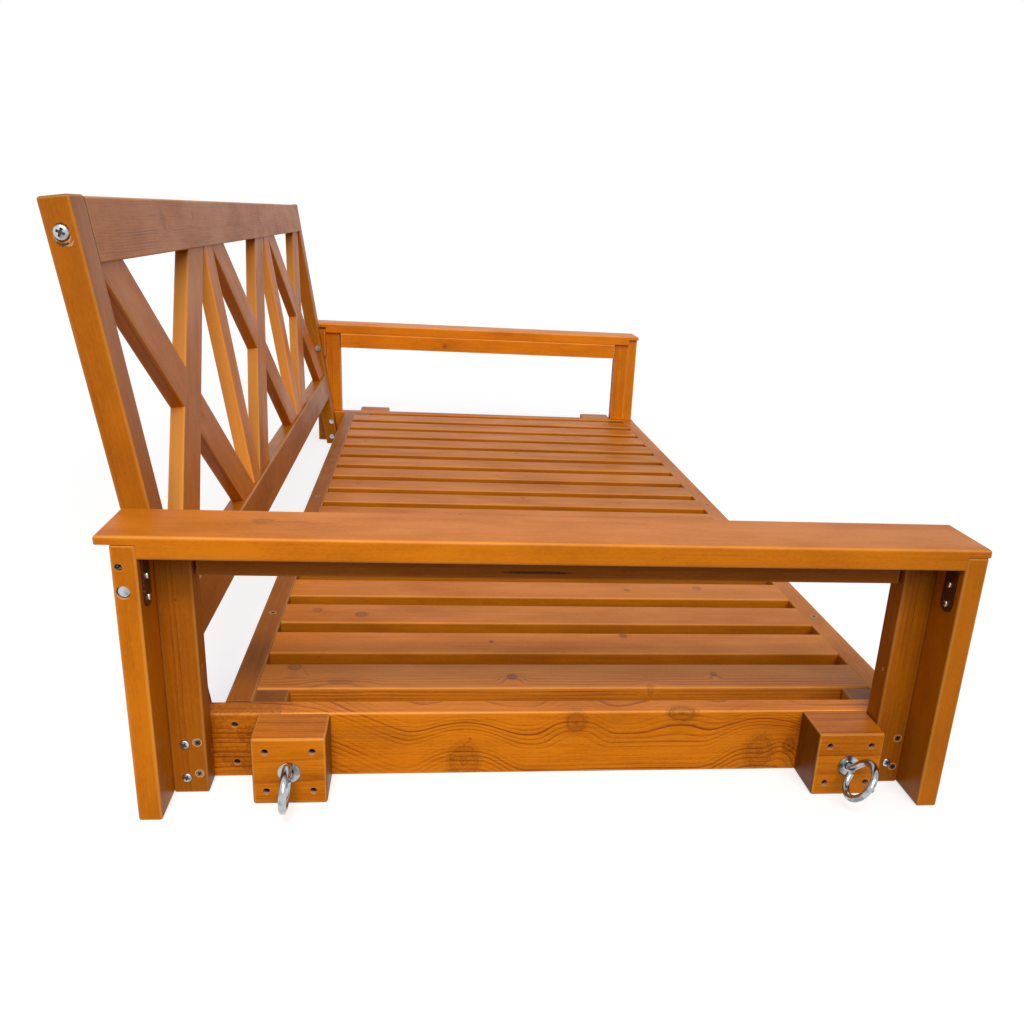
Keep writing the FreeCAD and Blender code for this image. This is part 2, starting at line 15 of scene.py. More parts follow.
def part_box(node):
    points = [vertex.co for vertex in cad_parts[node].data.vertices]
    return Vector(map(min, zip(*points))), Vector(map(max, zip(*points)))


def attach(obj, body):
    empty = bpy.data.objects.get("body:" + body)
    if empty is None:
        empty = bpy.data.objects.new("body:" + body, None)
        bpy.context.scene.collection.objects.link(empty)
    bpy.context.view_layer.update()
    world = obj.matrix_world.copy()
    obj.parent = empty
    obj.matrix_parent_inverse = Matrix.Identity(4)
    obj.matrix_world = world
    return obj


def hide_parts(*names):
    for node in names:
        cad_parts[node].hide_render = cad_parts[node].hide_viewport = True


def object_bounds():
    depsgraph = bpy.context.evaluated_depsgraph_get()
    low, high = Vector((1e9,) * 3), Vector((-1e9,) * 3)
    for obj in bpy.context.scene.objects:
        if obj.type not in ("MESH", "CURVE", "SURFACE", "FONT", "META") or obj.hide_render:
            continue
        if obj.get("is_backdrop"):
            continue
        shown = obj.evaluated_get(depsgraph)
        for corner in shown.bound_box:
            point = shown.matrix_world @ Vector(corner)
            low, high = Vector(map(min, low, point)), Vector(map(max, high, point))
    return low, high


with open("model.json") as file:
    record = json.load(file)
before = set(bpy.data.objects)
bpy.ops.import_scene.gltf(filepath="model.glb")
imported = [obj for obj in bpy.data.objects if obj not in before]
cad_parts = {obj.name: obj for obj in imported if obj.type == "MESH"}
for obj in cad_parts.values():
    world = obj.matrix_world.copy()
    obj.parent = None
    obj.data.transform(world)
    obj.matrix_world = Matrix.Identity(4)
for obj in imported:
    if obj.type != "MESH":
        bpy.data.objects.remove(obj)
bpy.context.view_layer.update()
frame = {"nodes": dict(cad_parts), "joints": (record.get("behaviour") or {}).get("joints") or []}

MM = 0.001
MERGE = 1e-6
SAME_RADIUS = 0.05 * MM

AXIS_X = Vector((1.0, 0.0, 0.0))
AXIS_Y = Vector((0.0, 1.0, 0.0))
AXIS_Z = Vector((0.0, 0.0, 1.0))

# Kinds of node that are used most
MATH = "ShaderNodeMath"
VECTOR_MATH = "ShaderNodeVectorMath"
MAP_RANGE = "ShaderNodeMapRange"
MIX = "ShaderNodeMix"
NOISE = "ShaderNodeTexNoise"
COMBINE = "ShaderNodeCombineXYZ"
TRANSFORM = "GeometryNodeTransform"

log = logging.getLogger("porch_swing_bed")


class Head(Enum):
    """Shapes of screw and bolt heads on the bed."""

    COUNTERSUNK = "countersunk"
    PAN = "pan"
    PLUG = "plug"


class Body(Enum):
    """Bodies of the bed that pieces ride on."""

    FRAME = "frame"
    EYE_LEFT_REAR = "eye_left_rear"
    EYE_LEFT_FRONT = "eye_left_front"
    EYE_RIGHT_REAR = "eye_right_rear"
    EYE_RIGHT_FRONT = "eye_right_front"


# Shared helpers

def linear(code: str) -> tuple[float, float, float, float]:
    """Turn an sRGB hex colour into linear light.

    Args:
        code: colour as "#RRGGBB".

    Returns:
        Red, green, blue and alpha.
    """
    parts = [int(code[k:k + 2], 16) / 255.0 for k in (1, 3, 5)]
    red, green, blue = [p / 12.92 if p <= 0.04045 else ((p + 0.055) / 1.055) ** 2.4 for p in parts]
    return red, green, blue, 1.0


def put(tree: bpy.types.NodeTree, kind: str, inputs: dict[Any, Any] | None = None,
        **props: Any) -> bpy.types.Node:
    """Add a node with its settings and links.

    Args:
        tree: tree that takes the node.
        kind: type name of the node.
        inputs: values, sockets, nodes or lists of them, by input name or number.
            A node gives its first output.
        props: properties of the node, and "stops" for the places and greys of a ramp.

    Returns:
        The new node.
    """
    node = tree.nodes.new(kind)
    for name, value in props.items():
        if name != "stops":
            setattr(node, name, value)
            continue
        stops = node.color_ramp.elements
        for place, grey in value[1:-1]:
            stops.new(place).color = (grey, grey, grey, 1.0)
        for stop, (place, grey) in ((stops[0], value[0]), (stops[-1], value[-1])):
            stop.position = place
            stop.color = (grey, grey, grey, 1.0)
        node.color_ramp.interpolation = "EASE"
    for key, value in (inputs or {}).items():
        for item in value if isinstance(value, list) else [value]:
            source = item.outputs[0] if isinstance(item, bpy.types.Node) else item
            if isinstance(source, bpy.types.NodeSocket):
                tree.links.new(source, node.inputs[key])
            else:
                node.inputs[key].default_value = source
    return node


def group_tree(name: str, kind: str, inputs: dict[str, str], outputs: dict[str, str]) -> tuple[Any, Any]:
    """Start a node group with a named interface.

    Args:
        name: name of the group.
        kind: type of tree.
        inputs: kinds of socket by input name.
        outputs: kinds of socket by output name.

    Returns:
        The tree and the sockets that give its inputs.
    """
    tree = bpy.data.node_groups.new(name, kind)
    for side, sockets in (("INPUT", inputs), ("OUTPUT", outputs)):
        for label, socket in sockets.items():
            tree.interface.new_socket(name=label, in_out=side, socket_type="NodeSocket" + socket)
    return tree, put(tree, "NodeGroupInput").outputs


def blank_material(name: str) -> tuple[bpy.types.Material, bpy.types.NodeTree]:
    """Start a material without nodes.

    Args:
        name: name of the material.

    Returns:
        The material and its node tree.
    """
    material = bpy.data.materials.new(name)
    material.use_nodes = True
    material.node_tree.nodes.clear()
    return material, material.node_tree


def grow(name: str, tree: bpy.types.NodeTree, seed_mesh: bpy.types.Mesh,
         values: dict[str, Any]) -> bpy.types.Object:
    """Run a geometry tree on a mesh and keep the result as a plain mesh.

    Args:
        name: name of the finished piece.
        tree: geometry tree.
        seed_mesh: points or edges that the tree starts from.
        values: tree inputs by name.

    Returns:
        The finished object, at the origin.
    """
    piece = bpy.data.objects.new(name, seed_mesh)
    bpy.context.scene.collection.objects.link(piece)
    modifier = piece.modifiers.new(name, "NODES")
    modifier.node_group = tree
    for item in tree.interface.items_tree:
        if item.item_type == "SOCKET" and item.in_out == "INPUT" and item.name in values:
            modifier[item.identifier] = values[item.name]
    graph = bpy.context.evaluated_depsgraph_get()
    mesh = bpy.data.meshes.new_from_object(piece.evaluated_get(graph), depsgraph=graph)
    piece.modifiers.clear()
    piece.data = mesh
    return piece


def dress(node: str, material: bpy.types.Material) -> None:
    """Give a CAD node its finish.

    Args:
        node: name of the node.
        material: finish to wear.
    """
    slots = frame["nodes"][node].data.materials
    slots.clear()
    slots.append(material)
    log.info("dressed %s in %s", node, material.name)


def settle(piece: bpy.types.Object, body: Body, slot: str, *nodes: str) -> None:
    """Let a finished piece ride on its body in place of its CAD nodes.

    Args:
        piece: finished object.
        body: body that carries it.
        slot: material slot of the record; not used.
        nodes: CAD nodes that it stands for.
    """
    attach(piece, body.value)
    if nodes:
        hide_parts(*nodes)
    log.info("built %s with %d faces", piece.name, len(piece.data.polygons))


def solids_of(node: str) -> list[np.ndarray]:
    """Find the separate solids of a CAD node.

    Args:
        node: name of the node.

    Returns:
        The corners of each solid, in metres.
    """
    mesh = bmesh.new()
    mesh.from_mesh(frame["nodes"][node].data)
    bmesh.ops.remove_doubles(mesh, verts=mesh.verts, dist=MERGE)
    left = set(mesh.verts)
    solids = []
    while left:
        start = left.pop()
        reached, queue = [start], [start]
        while queue:
            for edge in queue.pop().link_edges:
                for vert in edge.verts:
                    if vert in left:
                        left.remove(vert)
                        reached.append(vert)
                        queue.append(vert)
        solids.append(np.array([vert.co for vert in reached]))
    mesh.free()
    return sorted(solids, key=lambda part: tuple(part.mean(axis=0).round(4)))


@dataclass(frozen=True)
class Seat:
    """Place of one screw or bolt.

    Attributes:
        at: outer end of the head, on its axis.
        rim: point of the axis at the widest part of the head.
        outward: direction from the tip to the head.
        run: length of the whole fastener.
        radius: radius of the head.
    """

    at: Vector
    rim: Vector
    outward: Vector
    run: float
    radius: float


def seats_of(node: str) -> list[Seat]:
    """Find where the screws or bolts of a CAD node sit.

    Args:
        node: name of a node of fasteners that lie along the axes.

    Returns:
        One seat for each fastener.
    """
    found = []
    for points in solids_of(node):
        low, high = points.min(axis=0), points.max(axis=0)
        axis = int(np.argmax(high - low))
        middle = (low + high) / 2
        off_axis = np.delete(points - middle, axis, axis=1)
        reach = np.hypot(off_axis[:, 0], off_axis[:, 1])
        widest = points[reach > reach.max() - SAME_RADIUS]
        rim_along = widest[:, axis].mean()
        sign = 1.0 if rim_along > middle[axis] else -1.0
        outward = Vector([sign if k == axis else 0.0 for k in range(3)])
        at, rim = Vector(middle), Vector(middle)
        at[axis] = high[axis] if sign > 0 else low[axis]
        rim[axis] = widest[:, axis].min() if sign > 0 else widest[:, axis].max()
        found.append(Seat(at, rim, outward, float(high[axis] - low[axis]), float(reach.max())))
    return found


# Finishes

@dataclass(frozen=True)
class Knot:
    """Knot, dark streak or patch of painted shade on a board.

    Attributes:
        along: distance along the board from its middle, in millimetres.
        across: distance across the board from its middle, in millimetres.
        radius: radius across the board, in millimetres.
        stretch: length along the board against the width.
        ink: how dark it is, about 1.
    """

    along: float
    across: float
    radius: float
    stretch: float = 0.85
    ink: float = 1.0


@dataclass(frozen=True)
class Board:
    """How one board was cut and how it lies.

    Attributes:
        node: CAD node of the board.
        grain: direction of the grain.
        width: direction across the face of the board.
        figure: how strongly the growth rings show, from 0 to 2.
        tone: brightness of the stain, about 1; on some boards it also carries painted shade, on others
            painted light.
        heart: place of the tree's heart across and behind the face, in millimetres.
        ring: distance between growth rings, in millimetres.
        knots: knots that show.
        pale: how thin the stain is, from 0 to 1.
        pale_edge: how much paler the narrow edges are, from 0 to 1.
        edge_shade: brightness of the narrow edges against the faces; below 1 it is painted shade.
        open_side: side of the board that the knots open on, -1 or 1 along its third axis.
    """

    node: str
    grain: Vector
    width: Vector
    figure: float = 0.5
    tone: float = 1.0
    heart: tuple[float, float] = (30.0, 90.0)
    ring: float = 6.0
    knots: tuple[Knot, ...] = ()
    pale: float = 0.0
    pale_edge: float = 0.0
    edge_shade: float = 1.0
    open_side: float = -1.0

    def turn(self) -> Matrix:
        """Axes of the board as columns: along the grain, across, through."""
        through = self.grain.cross(self.width).normalized()
        across = through.cross(self.grain).normalized()
        return Matrix((self.grain.normalized(), across, through)).transposed()

    def extent(self) -> tuple[Vector, Vector]:
        """Measure the board along its own axes.

        Returns:
            Its middle in the bed and its half sizes along its own axes, in metres.
        """
        turn = np.array(self.turn())
        points = np.array([vert.co for vert in frame["nodes"][self.node].data.vertices]) @ turn
        low, high = points.min(axis=0), points.max(axis=0)
        return Vector(turn @ ((low + high) / 2)), Vector((high - low) / 2)


@dataclass(frozen=True)
class StainedFir:
    """Planed fir boards, amber oil stain under satin varnish."""

    # Stain gives a clear orange ground with darker rings, brown knots, pale rubbed edges and dark end grain.
    # The rubbed edges also carry a painted highlight; end grain and slat edges carry painted shade.
    # Varnish gives a soft sheen that greys at a flat angle.
    early: str = "#D67A0B"
    late: str = "#8A3E02"
    # Colour of rubbed edges, which also serves as a painted highlight along them
    rubbed: str = "#EFA24A"
    thin: str = "#EFA858"
    heart_of_knot: str = "#561E02"
    # Real fibres are hundredths of a millimetre wide and flecks under one, so both are drawn coarser to show.
    fibre_mm: float = 1.3
    fibre_run_mm: float = 110.0
    fleck_mm: float = 2.4
    fleck_run_mm: float = 6.0
    blotch_mm: float = 70.0
    blotch_run_mm: float = 210.0
    wander_width_mm: float = 90.0
    wander_run_mm: float = 260.0
    wander_mm: float = 6.0
    rubbed_highlight_mm: float = 4.5
    # Largest shift of the pattern from board to board
    shift_mm: float = 4000.0
    # How far fibres, flecks and clouds lighten and deepen the stain
    fibre_depth: tuple[float, float] = (-0.12, 0.26)
    fleck_depth: tuple[float, float] = (-0.09, 0.09)
    cloud_depth: tuple[float, float] = (-0.16, 0.42)
    # Darkness through one growth ring, and from the middle of a knot to its edge
    ring_stops: tuple[tuple[float, float], ...] = (
        (0.0, 0.0), (0.50, 0.10), (0.80, 0.55), (0.92, 1.0), (1.0, 0.0))
    knot_stops: tuple[tuple[float, float], ...] = (
        (0.14, 1.0), (0.24, 0.66), (0.40, 0.36), (0.56, 0.42), (0.66, 0.66), (0.78, 0.30), (1.0, 0.0))
    knot_taper: float = 0.7
    knot_ragged: float = 0.7
    knot_turns: float = 23.0
    knot_cover: float = 0.86
    satin: float = 0.42
    # Darkness of end grain, deepened further as painted shade
    end_grain_and_shade: float = 0.36
    ior: float = 1.5
    specular: float = 0.15

    def knot_group(self) -> bpy.types.NodeTree:
        """Build the group that bends the grain round one knot.

        Returns:
            The node group.
        """
        tree, given = group_tree(
            "Fir knot", "ShaderNodeTree",
            {"Place": "Vector", "At": "Vector", "Radius": "Float", "Shape": "Vector", "Ink": "Float",
             "Swirl": "Float", "Dark": "Float"},
            {"Swirl": "Float", "Dark": "Float"})
        away = put(tree, VECTOR_MATH, {0: given["Place"], 1: given["At"]}, operation="SUBTRACT")
        oval = put(tree, VECTOR_MATH, {0: away, 1: given["Shape"]}, operation="MULTIPLY")
        ragged = put(tree, NOISE, {"Vector": oval, "Scale": 0.22, "Detail": 3.0})
        length = put(tree, VECTOR_MATH, {0: oval}, operation="LENGTH")
        radii = put(tree, MATH, {0: length.outputs["Value"], 1: given["Radius"]}, operation="DIVIDE")
        rough = put(tree, MATH, {0: ragged, 1: self.knot_ragged, 2: radii}, operation="MULTIPLY_ADD")
        scaled = put(tree, MATH, {0: rough, 1: 0.5}, operation="MULTIPLY")
        profile = put(tree, "ShaderNodeValToRGB", {"Fac": scaled}, stops=self.knot_stops)
        years = put(tree, MATH, {0: rough, 1: self.knot_turns}, operation="MULTIPLY")
        turns = put(tree, MATH, {0: years}, operation="SINE")
        ringed = put(tree, MAP_RANGE, {0: turns, 1: -1.0, 2: 1.0, 3: 0.55, 4: 1.3})
        inked = put(tree, MATH, {0: profile, 1: ringed}, operation="MULTIPLY", use_clamp=True)
        shown = put(tree, MATH, {0: inked, 1: given["Ink"]}, operation="MULTIPLY")
        dark = put(tree, MATH, {0: shown, 1: given["Dark"]}, operation="MAXIMUM")
        near = put(tree, MAP_RANGE, {0: radii, 1: 0.6, 2: 5.5, 3: 1.3, 4: 0.0},
                   interpolation_type="SMOOTHERSTEP")
        push = put(tree, MATH, {0: near, 1: given["Radius"], 2: given["Swirl"]}, operation="MULTIPLY_ADD")
        put(tree, "NodeGroupOutput", {"Swirl": push, "Dark": dark})
        return tree

    def wood_group(self) -> bpy.types.NodeTree:
        """Build the group that draws rings, fibres, stain and wear on any board.

        Returns:
            The node group.
        """
        tree, given = group_tree(
            "Stained fir", "ShaderNodeTree",
            {"Place": "Vector", "Rim": "Vector", "Heart": "Vector", "Shift": "Vector", "Ring": "Float",
             "Figure": "Float", "Tone": "Float", "Pale": "Float", "Pale Edge": "Float",
             "Edge Shade": "Float", "Swirl": "Float", "Dark": "Float"},
            {"Color": "Color", "Roughness": "Float", "Normal": "Vector"})
        moved = put(tree, VECTOR_MATH, {0: given["Place"], 1: given["Shift"]}, operation="ADD")

        # Patterns drawn out along the grain: wandering rings, fibres, flecks and clouds of stain
        patterns = []
        for run, width, detail, roughness in ((self.wander_run_mm, self.wander_width_mm, 2.0, 0.5),
                                              (self.fibre_run_mm, self.fibre_mm, 3.0, 0.5),
                                              (self.fleck_run_mm, self.fleck_mm, 2.0, 0.5),
                                              (self.blotch_run_mm, self.blotch_mm, 6.0, 0.62)):
            drawn_out = put(tree, VECTOR_MATH, {0: moved, 1: (1 / run, 1 / width, 1 / width)},
                            operation="MULTIPLY")
            look = {"Vector": drawn_out, "Scale": 1.0, "Detail": detail, "Roughness": roughness}
            patterns.append(put(tree, NOISE, look))
        wander, fibre, fleck, blotch = patterns

        # Growth rings round the heart of the tree
        centred = put(tree, VECTOR_MATH, {0: wander.outputs["Color"], 1: (0.5, 0.5, 0.5)},
                      operation="SUBTRACT")
        sway = put(tree, VECTOR_MATH, {0: centred, 1: (0.0, 1.6 * self.wander_mm, 0.4 * self.wander_mm)},
                   operation="MULTIPLY")
        from_heart = put(tree, VECTOR_MATH, {0: given["Place"], 1: given["Heart"]}, operation="SUBTRACT")
        swayed = put(tree, VECTOR_MATH, {0: from_heart, 1: sway}, operation="ADD")
        across = put(tree, VECTOR_MATH, {0: swayed, 1: (0.0, 1.0, 1.0)}, operation="MULTIPLY")
        radius = put(tree, VECTOR_MATH, {0: across}, operation="LENGTH")
        bent = put(tree, MATH, {0: radius.outputs["Value"], 1: given["Swirl"]}, operation="ADD")
        count = put(tree, MATH, {0: bent, 1: given["Ring"]}, operation="DIVIDE")
        phase = put(tree, MATH, {0: count}, operation="FRACT")
        rings = put(tree, "ShaderNodeValToRGB", {"Fac": phase}, stops=self.ring_stops)
        years = put(tree, MATH, {0: count}, operation="FLOOR")
        year = put(tree, "ShaderNodeTexWhiteNoise", {"W": years}, noise_dimensions="1D")
        decade = put(tree, NOISE, {"W": years, "Scale": 0.23, "Detail": 0.0}, noise_dimensions="1D")
        lean = put(tree, MAP_RANGE, {0: decade, 1: 0.40, 2: 0.62, 3: 0.12, 4: 1.1},
                   interpolation_type="SMOOTHSTEP")
        growth = put(tree, MAP_RANGE, {0: year.outputs["Value"], 1: 0.0, 2: 1.0, 3: 0.35, 4: 1.0})
        strength = put(tree, MATH, {0: lean, 1: growth}, operation="MULTIPLY")
        ringed = put(tree, MATH, {0: rings.outputs["Color"], 1: strength}, operation="MULTIPLY")

        # Colour of rings, fibres and clouds
        patch = put(tree, MAP_RANGE, {0: wander, 1: 0.36, 2: 0.60, 3: 0.35, 4: 1.0},
                    interpolation_type="SMOOTHSTEP")
        clear = put(tree, MATH, {0: patch, 1: given["Figure"]}, operation="MULTIPLY")
        figured = put(tree, MATH, {0: ringed, 1: clear}, operation="MULTIPLY")
        painted_shade = ((fibre, self.fibre_depth), (fleck, self.fleck_depth), (blotch, self.cloud_depth))
        streak, dots, cloud = [put(tree, MAP_RANGE, {0: pattern, 1: 0.3, 2: 0.7, 3: light, 4: deep})
                               for pattern, (light, deep) in painted_shade]
        vigour = put(tree, MAP_RANGE, {0: given["Figure"], 1: 0.0, 2: 1.0, 3: 0.3, 4: 1.2})
        lines = put(tree, MATH, {0: streak, 1: vigour, 2: figured}, operation="MULTIPLY_ADD")
        veil = put(tree, MATH, {0: dots, 1: cloud}, operation="ADD")
        depth = put(tree, MATH, {0: lines, 1: veil}, operation="ADD", use_clamp=True)
        soaked = put(tree, MIX, {"Factor": depth, 6: linear(self.early), 7: linear(self.late)},
                     data_type="RGBA")
        rim = put(tree, "ShaderNodeSeparateXYZ", {0: given["Rim"]}).outputs
        narrow = put(tree, MAP_RANGE, {0: rim[1], 1: 0.2, 2: 1.5, 3: 1.0, 4: 0.0},
                     interpolation_type="SMOOTHSTEP")
        paled = put(tree, MATH, {0: narrow, 1: given["Pale Edge"], 2: given["Pale"]},
                      operation="MULTIPLY_ADD")
        stain = put(tree, MIX, {"Factor": paled, 6: soaked.outputs[2], 7: linear(self.thin)},
                    data_type="RGBA")

        # Rubbed edges with a painted highlight: second smallest distance to the faces of the board
        low = put(tree, MATH, {0: rim[0], 1: rim[1]}, operation="MINIMUM")
        high = put(tree, MATH, {0: rim[0], 1: rim[1]}, operation="MAXIMUM")
        other = put(tree, MATH, {0: high, 1: rim[2]}, operation="MINIMUM")
        second = put(tree, MATH, {0: low, 1: other}, operation="MAXIMUM")
        uneven = put(tree, MATH, {0: blotch, 1: 3.0, 2: second}, operation="MULTIPLY_ADD")
        edge = put(tree, MAP_RANGE, {0: uneven, 1: 1.2, 2: 1.2 + self.rubbed_highlight_mm, 3: 0.80, 4: 0.0},
                   interpolation_type="SMOOTHSTEP")
        worn_and_highlit = put(tree, MIX, {"Factor": edge, 6: stain.outputs[2], 7: linear(self.rubbed)},
                   data_type="RGBA")

        # Knots, then end grain deepened by painted shade, painted shade on the narrow edges, and the board's
        # own tone
        dark = put(tree, MATH, {0: given["Dark"], 1: self.knot_cover}, operation="MULTIPLY")
        knotted = put(tree, MIX, {"Factor": dark, 6: worn_and_highlit.outputs[2], 7: linear(self.heart_of_knot)},
                      data_type="RGBA")
        ends = put(tree, MAP_RANGE, {0: rim[0], 1: 0.2, 2: 1.8, 3: self.end_grain_and_shade, 4: 1.0},
                   interpolation_type="SMOOTHSTEP")
        sides = put(tree, MAP_RANGE, {0: narrow, 1: 0.0, 2: 1.0, 3: 1.0, 4: given["Edge Shade"]})
        around = put(tree, MATH, {0: ends, 1: sides}, operation="MULTIPLY")
        shade = put(tree, MATH, {0: around, 1: given["Tone"]}, operation="MULTIPLY")
        colour = put(tree, VECTOR_MATH, {0: knotted.outputs[2], "Scale": shade}, operation="SCALE")

        # Sheen and relief of the varnish over the grain
        sheen = put(tree, MAP_RANGE,
                    {0: blotch, 1: 0.3, 2: 0.7, 3: self.satin - 0.05, 4: self.satin + 0.07})
        relief = put(tree, MATH, {0: ringed, 1: -0.5, 2: fibre}, operation="MULTIPLY_ADD")
        bump = put(tree, "ShaderNodeBump", {"Strength": 0.22, "Distance": 0.25 * MM, "Height": relief})
        put(tree, "NodeGroupOutput", {"Color": colour, "Roughness": sheen, "Normal": bump})
        return tree


class Timber:
    """Makes the finish of each board from the one pattern of stained fir."""

    def __init__(self, fir: StainedFir) -> None:
        """Build the shared groups once."""
        self.fir = fir
        self.wood = fir.wood_group()
        self.knot = fir.knot_group()
        self.count = 0

    def finish(self, board: Board, fold: tuple[Vector, Vector, Vector] | None = None) -> bpy.types.Material:
        """Make the finish of one board.

        Args:
            board: the board.
            fold: for a node of several like blocks, the point that they lie round, how far from it
                and their half sizes, in metres and along the axes of the bed.

        Returns:
            The material.
        """
        self.count += 1
        dice = random.Random(self.count)
        material, tree = blank_material("stained_fir_" + board.node)
        middle, half = board.extent()
        turn = tuple(board.turn().to_euler())
        place = put(tree, "ShaderNodeTexCoord").outputs["Object"]
        local = put(tree, "ShaderNodeMapping",
                    {"Vector": place, "Location": middle, "Rotation": turn, "Scale": (MM, MM, MM)},
                    vector_type="TEXTURE")
        inner = local
        if fold is not None:
            middle_of_all, spread, sizes = fold
            half = Vector([abs(size) for size in board.turn().transposed() @ sizes])
            centred = put(tree, VECTOR_MATH, {0: place, 1: middle_of_all}, operation="SUBTRACT")
            folded = put(tree, VECTOR_MATH, {0: centred}, operation="ABSOLUTE")
            one = put(tree, VECTOR_MATH, {0: folded, 1: spread}, operation="SUBTRACT")
            inner = put(tree, "ShaderNodeMapping", {"Vector": one, "Rotation": turn, "Scale": (MM, MM, MM)},
                        vector_type="TEXTURE")
        inside = put(tree, VECTOR_MATH, {0: inner}, operation="ABSOLUTE")
        rim = put(tree, VECTOR_MATH, {0: tuple(half / MM), 1: inside}, operation="SUBTRACT")
        swirl, dark = 0.0, 0.0
        for knot in board.knots:
            step = put(tree, "ShaderNodeGroup",
                       {"Place": local, "At": (knot.along, knot.across, board.open_side * half.z / MM),
                        "Radius": knot.radius, "Shape": (1.0 / knot.stretch, 1.0, self.fir.knot_taper),
                        "Ink": knot.ink, "Swirl": swirl, "Dark": dark}, node_tree=self.knot)
            swirl, dark = step.outputs["Swirl"], step.outputs["Dark"]
        reach = self.fir.shift_mm
        shift = tuple(dice.uniform(-reach, reach) for _ in range(3))
        wood = put(tree, "ShaderNodeGroup",
                   {"Place": local, "Rim": rim, "Heart": (0.0, *board.heart), "Shift": shift,
                    "Ring": board.ring, "Figure": board.figure, "Tone": board.tone, "Pale": board.pale,
                    "Pale Edge": board.pale_edge, "Edge Shade": board.edge_shade, "Swirl": swirl,
                    "Dark": dark}, node_tree=self.wood)
        drawn = wood.outputs
        shader = put(tree, "ShaderNodeBsdfPrincipled",
                     {"Base Color": drawn["Color"], "Roughness": drawn["Roughness"],
                      "Normal": drawn["Normal"], "IOR": self.fir.ior,
                      "Specular IOR Level": self.fir.specular})
        put(tree, "ShaderNodeOutputMaterial", {"Surface": shader})
        return material

    def wear(self, board: Board) -> None:
        """Dress one board in its own cut of fir."""
        dress(board.node, self.finish(board))


@dataclass(frozen=True)
class PlatedSteel:
    """Steel with a plated skin."""

    # Plating gives a mirror-like skin with faint milky clouds, and duller patches where it is thin.
    # Grime and painted shade give the cross in a head its near black.
    name: str
    skin: str
    dull: str
    roughness: float
    cloud_mm: float = 9.0
    grime_and_shade: str = "#1B1713"

    def material(self) -> bpy.types.Material:
        """Make the finish.

        Returns:
            The material.
        """
        material, tree = blank_material(self.name)
        place = put(tree, "ShaderNodeTexCoord").outputs["Object"]
        cloud = put(tree, NOISE, {"Vector": place, "Scale": 1.0 / (self.cloud_mm * MM), "Detail": 1.5})
        mask = put(tree, MAP_RANGE, {0: cloud, 1: 0.42, 2: 0.68, 3: 0.0, 4: 1.0},
                   interpolation_type="SMOOTHSTEP")
        plate = put(tree, MIX, {"Factor": mask, 6: linear(self.skin), 7: linear(self.dull)},
                    data_type="RGBA")
        # The recess takes the near black of grime and painted shade.
        recess = put(tree, "ShaderNodeAttribute", attribute_name="recess").outputs["Fac"]
        skin = put(tree, MIX, {"Factor": recess, 6: plate.outputs[2], 7: linear(self.grime_and_shade)},
                   data_type="RGBA")
        polish = put(tree, MAP_RANGE,
                     {0: cloud, 1: 0.3, 2: 0.7, 3: self.roughness - 0.06, 4: self.roughness + 0.10})
        gloss = put(tree, MATH, {0: recess, 1: 0.4, 2: polish}, operation="MULTIPLY_ADD", use_clamp=True)
        bump = put(tree, "ShaderNodeBump", {"Strength": 0.10, "Distance": 0.05 * MM, "Height": cloud})
        shader = put(tree, "ShaderNodeBsdfPrincipled",
                     {"Base Color": skin.outputs[2], "Roughness": gloss, "Normal": bump, "Metallic": 1.0})
        put(tree, "ShaderNodeOutputMaterial", {"Surface": shader})
        return material


@dataclass(frozen=True)
class BronzeLacquer:
    """Pressed steel under a bronze lacquer."""

    # Lacquer gives a deep red brown with a low sheen, rubbed back to a paler metal in specks.
    coat: str = "#4C2710"
    rubbed: str = "#94704A"
    speck_mm: float = 2.5
    roughness: float = 0.38
    metallic: float = 0.6

    def material(self) -> bpy.types.Material:
        """Make the finish.

        Returns:
            The material.
        """
        material, tree = blank_material("bronze_lacquer")
        place = put(tree, "ShaderNodeTexCoord").outputs["Object"]
        speck = put(tree, NOISE, {"Vector": place, "Scale": 1.0 / (self.speck_mm * MM), "Detail": 5.0})
        mask = put(tree, MAP_RANGE, {0: speck, 1: 0.58, 2: 0.74, 3: 0.0, 4: 0.7},
                   interpolation_type="SMOOTHSTEP")
        colour = put(tree, MIX, {"Factor": mask, 6: linear(self.coat), 7: linear(self.rubbed)},
                     data_type="RGBA")
        gloss = put(tree, MAP_RANGE,
                    {0: speck, 1: 0.3, 2: 0.7, 3: self.roughness - 0.08, 4: self.roughness + 0.1})
        shader = put(tree, "ShaderNodeBsdfPrincipled",
                     {"Base Color": colour.outputs[2], "Roughness": gloss, "Metallic": self.metallic})
        put(tree, "ShaderNodeOutputMaterial", {"Surface": shader})
        return material


